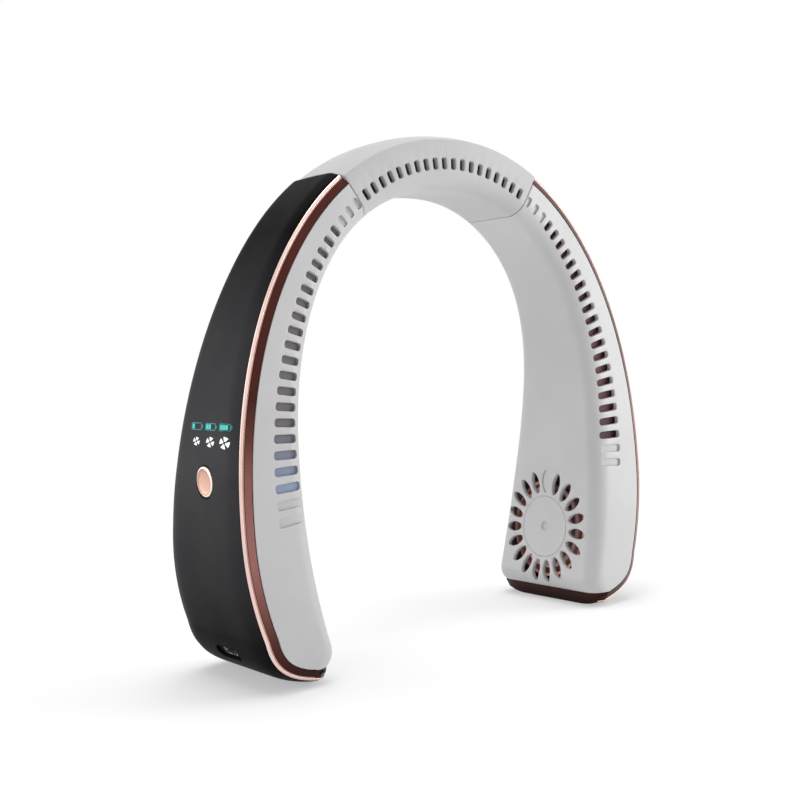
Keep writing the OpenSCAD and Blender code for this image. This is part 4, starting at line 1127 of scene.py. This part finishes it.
def trim_band():
    """Outer and inner rows of the band: joint, slope, crown, and the same backwards. Past
    the shell the inner rows lie on the neck side, round its soft edge."""
    u = trim_stations()
    d, t, r = depth(u), trim_in(u), edge_radius(u)
    fall = soft((u - ARM) * SEAM_LEN, TRIM_LIP)
    front = [(y + 0 * d, -t + w) for y, w in TRIM_JOINT]
    front += [slope_row(u, k, lift - fall) for k, lift in SLOPE]
    top = [(k * d, bulge(u, k * d) - fall) for k in TOP_SHARES]
    rows = front + top + [(d - y, w) for y, w in front[::-1]]
    outer = np.stack([from_outer(u, y, w) for y, w in rows], 1)
    whole = (u > TOE_START)[:, None]
    inner = []
    for y, _ in rows:
        near = np.clip(np.minimum(y, d - y), 0, r)
        v = r - np.sqrt(np.maximum(r ** 2 - (r - near) ** 2, 0))
        at_shell = from_outer(u, np.clip(y, TRIM_LEDGE, d - TRIM_LEDGE), -t)
        inner.append(np.where(whole, from_neck(u, y, v), at_shell))
    return toe_corners(u, outer, np.stack(inner, 1))


def window(name, flip):
    """Cutter of the panel's window: deep beside the shell, shallow over the toe. Its
    stations lie OFF_GRID beside the band's own, so no two edges fall together."""
    body = arm_stations()[6:-5]
    turn = [TOE_START - 0.006, TOE_START + OFF_GRID, TOE_START + 0.006]
    toe = np.linspace(TOE_START + 0.012, PANEL_END, 12)
    u = np.concatenate([[ARM - 0.004], body + OFF_GRID, turn, toe])
    d = depth(u)
    deep = u < TOE_START + 0.003
    top, low = [], []
    for y in [TRIM_T + 0 * d] + [k * d for k in TOP_SHARES] + [d - TRIM_T]:
        low.append(from_outer(u, y, np.where(deep, -TRIM_W - WINDOW_OVER, bulge(u, y) - PANEL_T - FIT)))
        top.append(from_outer(u, y, CROWN + WINDOW_OVER))
    return strip_shell(name, np.stack(top, 1), np.stack(low, 1), flip=flip)


def mark_painted_light(piece, u):
    """Writes on every face which colour it gets, strip by strip. From the shell to the panel
    come the joint in painted shade, anodised, the step in painted shade, a painted sheen
    and a painted highlight. The rest is anodised."""
    mid = (SLOPE[1:, 0] + SLOPE[:-1, 0]) / 2
    strips = np.select([mid < 0.6, mid < 0.645, mid < 0.75], [ANODISED, PAINTED_SHADE, PAINTED_SHEEN], PAINTED_HIGHLIGHT)
    front = np.concatenate([np.full(3, PAINTED_SHADE), strips])
    outside = np.concatenate([front, np.full(len(TOP_SHARES) + 1, ANODISED), front[::-1]])
    ring = np.concatenate([outside, np.full(len(outside) + 2, ANODISED)])
    at_toe = ((u[1:] + u[:-1]) / 2 > TOE_START)[:, None]
    polish_and_painted_light = np.where(at_toe, np.where(ring == PAINTED_HIGHLIGHT, PAINTED_HIGHLIGHT, ANODISED), ring).ravel()
    polish_and_painted_light = np.concatenate([polish_and_painted_light, np.full(2 * len(outside), ANODISED)])
    piece.data.attributes.new("polish_and_painted_light", "FLOAT", "FACE").data.foreach_set("value", polish_and_painted_light)
    print(piece.name, "bright faces:", int((polish_and_painted_light == PAINTED_HIGHLIGHT).sum()), "of", len(polish_and_painted_light))


for side, flip, _ in SIDES:
    trim = strip_shell(f"{side}_trim", *trim_band(), flip=flip)
    # Every trim face gets its number: painted shade, anodised, painted sheen, painted highlight
    mark_painted_light(trim, trim_stations())
    cut(trim, window("window", flip), angle=20)
    dress(trim, rose, f"{side}_arm")
    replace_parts(trim, f"{side}_trim_frame")

# %% [markdown]
# ## The black panels
# A satin black panel fills each window. It bulges in the middle, so a long soft light
# runs down it, and a painted sheen in its colour adds to that light. It could be cut out
# of the trim's mesh, but a plate of its own has a soft rim all round, and its stations
# lie close together there.

# %% Panels
RIM_R, PANEL_ROWS = 0.45, 31
PANEL_STEPS = np.array([0, 0.03, 0.09, 0.18, 0.3, 0.45, 0.9])


def panel(name, flip):
    """Crowned plate between the trim strips. Its face is the outer side plus the bulge,
    less the larger of the two falls at the rims."""
    low = (PANEL_END - STEP) - PANEL_STEPS[::-1] / PANEL_END_LEN
    u = np.concatenate([body_stations(low[0] - 0.01, 56, PANEL_STEPS), low])
    d, y0 = depth(u), TRIM_T + FIT
    fall = np.maximum(soft((u - ARM) * SEAM_LEN, RIM_R), soft((PANEL_END - STEP - u) * PANEL_END_LEN, RIM_R))
    ys = [y0 + s + 0 * d for s in PANEL_STEPS] + [k * d for k in np.linspace(0.125, 0.875, PANEL_ROWS)]
    ys += [d - y0 - s for s in PANEL_STEPS[::-1]]
    outer, inner = [], []
    for y in ys:
        side = soft(np.minimum(y - y0, d - y0 - y), RIM_R)
        outer.append(from_outer(u, y, bulge(u, y) - np.maximum(side, fall)))
        inner.append(from_outer(u, y, bulge(u, y) - PANEL_T))
    return strip_shell(name, np.stack(outer, 1), np.stack(inner, 1), flip=flip)


panels = {side: panel(f"{side}_panel", flip) for side, flip, _ in SIDES}
print("panel points:", len(panels["left"].data.vertices))

# %% [markdown]
# The left panel has a hole for the power button and a recess for the charging socket.
# Both are cut square to the panel where they are. A small frame of three directions at
# each place carries a flat outline into the panel, widest at the surface so that the rim
# is round. A plain cylinder would leave a sharp rim that no moulded part has.

# %% Cuts of the left panel
BUTTON_RISE, BUTTON_BACK, PORT_AT = 0.384, 0.372, 1.27
BUTTON_Z, BUTTON_Y = BUTTON_RISE * HEIGHT, FRONT_Y + BUTTON_BACK * TIP_DEPTH
ABOVE_PANEL, HOLE_R, HOLE_STEPS, HOLE_EDGE, HOLE_DEEP = 3.0, 5.75, 64, 0.25, 6
RECESS_EDGE, RECESS_DEEP, MOUTH_DEPTHS = 0.3, 1.0, (-1, 8)
# Length, width and corner radius of the recess and of the socket's mouth
RECESS, MOUTH = (15.5, 5.2, 2.59), (9.2, 3.5, 1.74)


def circle(r, n=HOLE_STEPS):
    """Circle of n points: r times the cosine and the sine of even turns."""
    a = np.arange(n) * 2 * np.pi / n
    return r * np.stack([np.cos(a), np.sin(a)], -1)


def grown(size, g):
    """Rounded rectangle of a size, grown by g all round."""
    return round_box(size[0] + 2 * g, size[1] + 2 * g, size[2] + g, 8)


def sunk_cutter(name, outlines, depths, centre, out, long_way):
    """Stack of outlines below a surface point: the point, plus an outline's two numbers
    along the two flat directions, less its depth along the outward one."""
    out, long_way = unit(np.array(out, float)), unit(np.array(long_way, float))
    wide = np.cross(out, long_way)
    rings = [np.array(centre) + o[:, :1] * long_way + o[:, 1:] * wide - deep * out
             for o, deep in zip(outlines, depths)]
    return closed_piece(name, np.stack(rings), solid_faces(1, len(rings), len(rings[0])))


outer_line = outer_at(np.linspace(0.2, 1, 500))


def outer_x(z):
    """Half width of the outer side at the height z."""
    return np.interp(-z, -outer_line[:, 1], outer_line[:, 0])


PANEL_X = outer_x(BUTTON_Z) + CROWN
button_at = (-PANEL_X, BUTTON_Y, BUTTON_Z)
grow, down = rim_steps(HOLE_EDGE, HOLE_DEEP, ABOVE_PANEL)
holes = [circle(HOLE_R + g) for g in grow]
cut(panels["left"], sunk_cutter("hole", holes, down, button_at, (-1, 0, 0), (0, 1, 0)))

port_u = np.array(PORT_AT)
port, port_out = outer_at(port_u), outer_normal(port_u)
port_y = FRONT_Y + depth(port_u) / 2
port_at = (-(port + CROWN * port_out)[0], port_y, (port + CROWN * port_out)[1])
port_way = ((-port_out[0], 0, port_out[1]), (0, 1, 0))
grow, down = rim_steps(RECESS_EDGE, RECESS_DEEP, ABOVE_PANEL)
cut(panels["left"], sunk_cutter("recess", [grown(RECESS, g) for g in grow], down, port_at, *port_way))
cut(panels["left"], sunk_cutter("mouth", [grown(MOUTH, 0)] * 2, MOUTH_DEPTHS, port_at, *port_way))
for side, piece in panels.items():
    dress(piece, panel_black, f"{side}_arm")
    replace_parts(piece, f"{side}_outer_panel")

# %% [markdown]
# ## The power button
# The button is a turned cap: a dished face, a bright bevelled rim, a straight side, and
# the flange and stem that hold it behind the panel. A profile swung round the button's
# axis makes it in one go.

# %% Button
CAP_R, BEVEL_FROM, FLANGE_R, FLANGE_T, STEM_R = 5.25, 4.8, 6.4, 0.8, 2.24
BOARD_X, PLUNGER_H, POLISHED_ROSE = 88.5863, 3.3, (0.95, 0.80, 0.74)
# Radius and height over the panel, from the side over the bevelled rim to the dished face
CAP_FACE = [(5.21, 0.1), (5.13, 0.18), (5.0, 0.24), (4.7, 0.33), (4.58, 0.34), (4.46, 0.3), (4.36, 0.2),
            (4.28, 0.15), (4.15, 0.11), (3.2, 0.05), (2.0, 0.0), (0.8, -0.02)]

flange = outer_x(BUTTON_Z + FLANGE_R) + CROWN - PANEL_T - FLANGE_T - FIT - PANEL_X
stem = BOARD_X + PLUNGER_H - PANEL_X
profile = [(STEM_R, stem), (STEM_R, flange), (FLANGE_R, flange), (FLANGE_R, flange + FLANGE_T),
           (CAP_R, flange + FLANGE_T), (CAP_R, -0.2), (CAP_R, 0.0)] + CAP_FACE
button = lathe("power_cap", profile, (-1, 0, 0), button_at, 96)
middle = np.array([f.center[:] for f in button.data.polygons]) / MM
out_of_axis = np.hypot(middle[:, 1] - BUTTON_Y, middle[:, 2] - BUTTON_Z)
rim = (out_of_axis > BEVEL_FROM) & (out_of_axis < CAP_R + 0.01) & (-middle[:, 0] - PANEL_X > -0.1)
button.data.attributes.new("polish_and_painted_light", "FLOAT", "FACE").data.foreach_set("value", rim.astype(float))
tree, shader, mottled = open_finish(rose_button)
shade = mix_colour(tree, "MIX", polish_and_painted_light_number(tree), mottled, POLISHED_ROSE)
tree.links.new(shade, shader.inputs["Base Color"])
dress(button, rose_button, "power_button")
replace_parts(button, "power_button")
print("button rises", max(h for _, h in profile), "mm over the panel")

# %% [markdown]
# ## The lights
# Three battery signs and three fan signs show through the panel. They are thin plates
# that lie in it, a few hundredths proud. Each plate follows the crown of the panel, so its
# outline is first split into short sides, and every point looks up the panel's surface. An
# emission of their own colour keeps the signs readable on black.

# %% Plates on the panel
SIGN_Y, SIGN_PITCH, SIGN_LOW, SIGN_TOP = -11.1, 9.6, -0.3, 0.07
SPEED_RISE, ROW_STEP = 13.6, 5.1
SPEED_Z = BUTTON_Z + SPEED_RISE
BATTERY_Z = SPEED_Z + ROW_STEP
crown_u = np.linspace(0.2, 1.2, 2000)


def glow(name, colour, power):
    """Lit plastic: its own colour and a little light of the same colour."""
    m = finish(name, colour, tuple(0.85 * c for c in colour), 0.35, bump=0.05, mottle=300.0,
               Specular_IOR_Level=0.1)
    shader = m.node_tree.nodes["Principled BSDF"]
    shader.inputs["Emission Color"].default_value = (*colour, 1)
    shader.inputs["Emission Strength"].default_value = power
    return m


def panel_x(y, z):
    """Half width of the panel's surface at y and z. The place along the arm is found by
    looking up the height three times, each time less the rise of the crown."""
    line = outer_at(crown_u)
    u = np.interp(-z, -line[:, 1], crown_u)
    for _ in range(3):
        rise = bulge(u, y - FRONT_Y) * outer_normal(u)[:, 1]
        u = np.interp(rise - z, -line[:, 1], crown_u)
    return (outer_at(u) + bulge(u, y - FRONT_Y)[:, None] * outer_normal(u))[:, 0]


def dense(outline, parts=5):
    """Outline with every side split into equal parts: a mix of each point and the next."""
    t = np.arange(parts)[None, :, None] / parts
    return ((1 - t) * outline[:, None] + t * np.roll(outline, -1, axis=0)[:, None]).reshape(-1, 2)


def plates(name, outlines, z, material):
    """Thin plates in one piece, from outlines drawn as the viewer sees them."""
    rings, faces, start = [], [], 0
    for o in map(dense, outlines):
        y, h = SIGN_Y - o[:, 0], z + o[:, 1]
        x = panel_x(y, h)
        rings += [np.stack([-x - level, y, h], -1) for level in (SIGN_LOW, SIGN_TOP)]
        side, ends = solid_faces(1, 2, len(o))
        faces += [side + start, ends + start]
        start += 2 * len(o)
    piece = closed_piece(name, np.concatenate(rings), faces, angle=30)
    return dress(piece, material, "left_arm")


teal = glow("battery light", (0.035, 0.46, 0.41), 0.5)
dim_teal = glow("battery rim light", (0.008, 0.20, 0.19), 0.35)
white_light = glow("speed light", (0.85, 0.85, 0.85), 0.5)
print("signs at", round(BATTERY_Z, 1), "and", round(SPEED_Z, 1), "mm")

# %% [markdown]
# A battery is an outline with a nose and one, two or three bars. Its outline is made as
# two halves, because a closed plate can't have a hole. A fan is four blades, larger from
# left to right, and is drawn wider than high, as it is on the slanting panel.

# %% Signs
BATTERY_L, BATTERY_H, LINE, BATTERY_SHIFT = 7.0, 2.5, 0.3, 0.4
FRAME_R, HOLLOW_R, NOSE, NOSE_OUT = 0.5, 0.2, (0.9, 1.3, 0.3), 0.35
BAR_W, BAR_PITCH, BAR_LESS, BAR_R, BAR_SHIFT = 1.5, 1.75, 0.9, 0.1, 0.4
FAN_RADII, FAN_STRETCH, FAN_BLADES, FAN_TURN = (1.45, 1.75, 2.05), 1.55, 4, 72
HUB_R, HUB_HALF, BLADE_SHARES = 0.24, 0.1, [0.96, 1.1]


def battery_frame():
    """Outline of a battery sign: two halves of a rounded frame, and the nose."""
    body = round_box(BATTERY_L, BATTERY_H, FRAME_R)
    hollow = round_box(BATTERY_L - 2 * LINE, BATTERY_H - 2 * LINE, HOLLOW_R)
    half = len(body) // 2
    return [np.concatenate([body[:half + 1], hollow[:half + 1][::-1]]),
            np.concatenate([body[half:], body[:1], hollow[:1], hollow[half:][::-1]]),
            round_box(*NOSE) + [BATTERY_L / 2 + NOSE_OUT, 0]]


def blade(a, r):
    """One blade of a fan sign at angle a: an arc of 50 degrees and radius r outside, and
    two points near the hub."""
    k = np.radians(np.linspace(-25, 25, 9))
    rim = r * np.stack([np.cos(k), 1.05 * np.sin(k)], -1)
    hub = [[HUB_R * r, HUB_HALF * r], [HUB_R * r, -HUB_HALF * r]]
    p = np.concatenate([rim * BLADE_SHARES, hub])
    return turned(p, a) * [FAN_STRETCH, 1]


for i in range(3):
    bars = [round_box(BAR_W, BATTERY_H - BAR_LESS, BAR_R) + [(k - 1) * BAR_PITCH - BAR_SHIFT, 0]
            for k in range(i + 1)]
    mid = [(i - 1) * SIGN_PITCH - BATTERY_SHIFT, 0]
    plates(f"battery_rim_{i + 1}", [p + mid for p in battery_frame()], BATTERY_Z, dim_teal)
    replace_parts(plates(f"battery_light_{i + 1}", [bar + mid for bar in bars], BATTERY_Z, teal), "light_guide")

for i, r in enumerate(FAN_RADII):
    turns = np.radians(np.arange(FAN_BLADES) * 90 + FAN_TURN)
    blades = [blade(a, r) + [(i - 1) * SIGN_PITCH, 0] for a in turns]
    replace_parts(plates(f"speed_light_{i + 1}", blades, SPEED_Z, white_light), "light_guide")
print("signs:", 3 + len(FAN_RADII))

# %% [markdown]
# Behind the signs, a clear bar carries the light from the board's diodes to the panel. It
# could be a straight block, but it follows the curve of the panel at 0.2 mm, so that the
# light has the same way to every sign.

# %% Light bar
BAR_TOP, BAR_LOW = PANEL_T + 0.2, PANEL_T + 1.4
bar_y = SIGN_Y + np.linspace(-14, 14, 29)
bar_z = np.linspace(SPEED_Z - 3, BATTERY_Z + 3, 15)
grid_y, grid_z = np.meshgrid(bar_y, bar_z, indexing="ij")
bar_x = panel_x(grid_y.ravel(), grid_z.ravel()).reshape(grid_y.shape)
skins = [np.stack([level - bar_x, grid_y, grid_z], -1) for level in (BAR_TOP, BAR_LOW)]
bar = strip_shell("light_bar", *skins)
dress(bar, clear, "left_arm")
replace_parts(bar, "light_guide")
print("light bar points:", len(bar.data.vertices))

# %% [markdown]
# ## Wires in the band
# Three wires run through the band from arm to arm and bend with it. Each half of the
# bundle is a set of round tubes that follow the same section of the band, so the wires
# stay inside the sleeve.

# %% Wires
WIRE_SHIFTS, WIRE_STEPS, DUCT_T, WIRE_R = (0.85, 3.0, 5.15), 12, 1.2, 1


def wires(name, flip):
    """Three tubes along one half of the band. A point is the wire's middle plus cosine
    times the outward direction plus sine times the direction backwards."""
    near = SEAM - np.linspace(6.5, 0, 14) / SEAM_LEN
    past = SEAM + np.linspace(0.5, 6, 10) / SEAM_LEN
    u = np.concatenate([np.linspace(0, SEAM - DENSE_LEN / SEAM_LEN, 24), near, past])
    inset = max(WALL, SLEEVE_T, PANEL_T) + FIT + DUCT_T + WIRE_R + FIT
    a = np.linspace(0, 2 * np.pi, WIRE_STEPS, endpoint=False)[None, :, None]
    out = unit(from_neck(u, 0, thick(u)) - from_neck(u, 0, np.zeros_like(u)))
    tubes = []
    for shift in WIRE_SHIFTS:
        c = from_neck(u, BAND_DEPTH - EDGE_R - shift, inset)
        tubes.append(c[:, None] + np.cos(a) * out[:, None] + np.sin(a) * [0, 1, 0])
    return closed_piece(name, np.stack(tubes), solid_faces(3, len(u), WIRE_STEPS), angle=60, flip=flip)


for side, flip, sign in SIDES:
    bundle = wires(f"{side}_wires", flip)
    dress(bundle, wire_red)
    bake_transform(bundle)
    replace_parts(bundle, "band_harness")
print("wires per half:", len(WIRE_SHIFTS))

# %% [markdown]
# ## The parts inside
# The blowers, cells and board keep their CAD shapes, because they are right as they
# are and only show through the slots and petals. Each gets the finish of its real
# material: black moulded plastic, lacquered copper for the scroll, steel, windings and green
# solder mask.

# %% Finishes of the carried parts
INSIDE = {
    "band_duct_frame": inner_plastic, "seam_collar": inner_plastic, "duct_partition": inner_plastic,
    "volute": volute_pink, "blower_screws": steel, "motor_stator": copper, "impeller": fan_grey,
    "rotor_magnet": steel, "motor_shaft": steel, "battery": wrap, "control_board": solder,
    "board_screws": steel, "tact_switch": steel, "usb_c_socket": steel, "light_guide": clear,
    "switch_plunger": inner_plastic,
}
shown = {name: node for name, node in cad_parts.items() if not node.hide_render}
for name, node in shown.items():
    kind = name if name in INSIDE else name.split("_", 1)[1]
    node.data.materials.clear()
    node.data.materials.append(INSIDE[kind])
print("carried CAD parts:", len(shown))

# %% [markdown]
# ## Studio
# A pale floor carries the soft shadow and fades to plain white away from the fan. The
# fade mixes the paper with a white emission, by the distance from the middle, and only for
# rays that look at the floor, so the emission lights nothing.

# %% Floor
FLOOR_R, FLOOR_STEPS, FLOOR_DOWN = 3.0, 96, 0.0002
FADE_FROM, FADE_TO, NEAR_SHARE = 0.13, 0.42, 0.4


def shown_ray(tree):
    """1 for a ray from the camera, a reflection or a clear part, 0 for a ray that lights."""
    path = tree.nodes.new("ShaderNodeLightPath")
    mirrored = maths(tree, "MAXIMUM", path.outputs["Is Glossy Ray"], path.outputs["Is Transmission Ray"])
    return maths(tree, "MAXIMUM", path.outputs["Is Camera Ray"], mirrored)


ground = bpy.data.meshes.new("floor")
a = np.linspace(0, 2 * np.pi, FLOOR_STEPS, endpoint=False)
disc = np.stack([FLOOR_R * np.cos(a), FLOOR_R * np.sin(a), 0 * a - FLOOR_DOWN], -1)
ground.from_pydata(disc.tolist(), [], [tuple(range(FLOOR_STEPS))])
floor = bpy.data.objects.new("floor", ground)
scene.collection.objects.link(floor)
floor_white = finish("floor paper", (0.93, 0.93, 0.93), (0.925, 0.925, 0.925), 0.9, bump=0.02,
                     Specular_IOR_Level=0.0)
ground.materials.append(floor_white)

tree = floor_white.node_tree
plain = tree.nodes.new("ShaderNodeEmission")
far = tree.nodes.new("ShaderNodeVectorMath")
far.operation = "LENGTH"
tree.links.new(object_axes(tree), far.inputs[0])
fade = tree.nodes.new("ShaderNodeMixShader")
faded = stretch(tree, far.outputs["Value"], FADE_FROM, FADE_TO)
near = maths(tree, "ADD", maths(tree, "MULTIPLY", faded, 1 - NEAR_SHARE), NEAR_SHARE)
tree.links.new(maths(tree, "MULTIPLY", near, shown_ray(tree)), fade.inputs[0])
tree.links.new(tree.nodes["Principled BSDF"].outputs[0], fade.inputs[1])
tree.links.new(plain.outputs[0], fade.inputs[2])
tree.links.new(fade.outputs[0], tree.nodes["Material Output"].inputs["Surface"])
print("floor fades from", FADE_FROM, "to", FADE_TO, "m")

# %% [markdown]
# Large soft lamps light the fan from the right front, the left and above. The background
# is the world itself, white where the camera, a reflection or glass looks at it, and
# dimmer as a light, so the colours stay as they are written.

# %% Lamps and world
# Name, place, the point it looks at, size in metres and power in watts
LAMPS = [
    ("key", (0.40, -0.31, 0.2), (0.085, 0, 0.08), 0.34, 1.75),
    ("left fill", (-1.3, -0.3, 0.6), (0, 0, 0.09), 0.8, 2.0),
    ("left back", (-0.8, 0.9, 0.1), (-0.08, 0, 0.09), 0.6, 4.5),
    ("top", (0.0, 0.1, 1.3), (0, 0, 0.1), 1.0, 12),
]
WORLD_LIGHT = 0.41

for name, place_at, aim, size, power in LAMPS:
    light = bpy.data.lights.new(name, "AREA")
    light.size, light.energy = size, power
    back = unit(np.array(place_at, float) - np.array(aim, float))
    side = unit(np.cross([0.0, 0.0, 1.0], back))
    stand(bpy.data.objects.new(name, light), side, np.cross(back, side), back, place_at)

world = bpy.data.worlds.new("studio")
scene.world = world
world.use_nodes = True
tree = world.node_tree
sky = tree.nodes["Background"]
level = tree.nodes.new("ShaderNodeMapRange")
tree.links.new(shown_ray(tree), level.inputs["Value"])
level.inputs["To Min"].default_value, level.inputs["To Max"].default_value = WORLD_LIGHT, 1.0
sky.inputs["Color"].default_value = (1, 1, 1, 1)
tree.links.new(level.outputs["Result"], sky.inputs["Strength"])
print("lamps:", [lamp[0] for lamp in LAMPS])

# %% [markdown]
# The last step brings the scene up to date.

# %% End
bpy.context.view_layer.update()
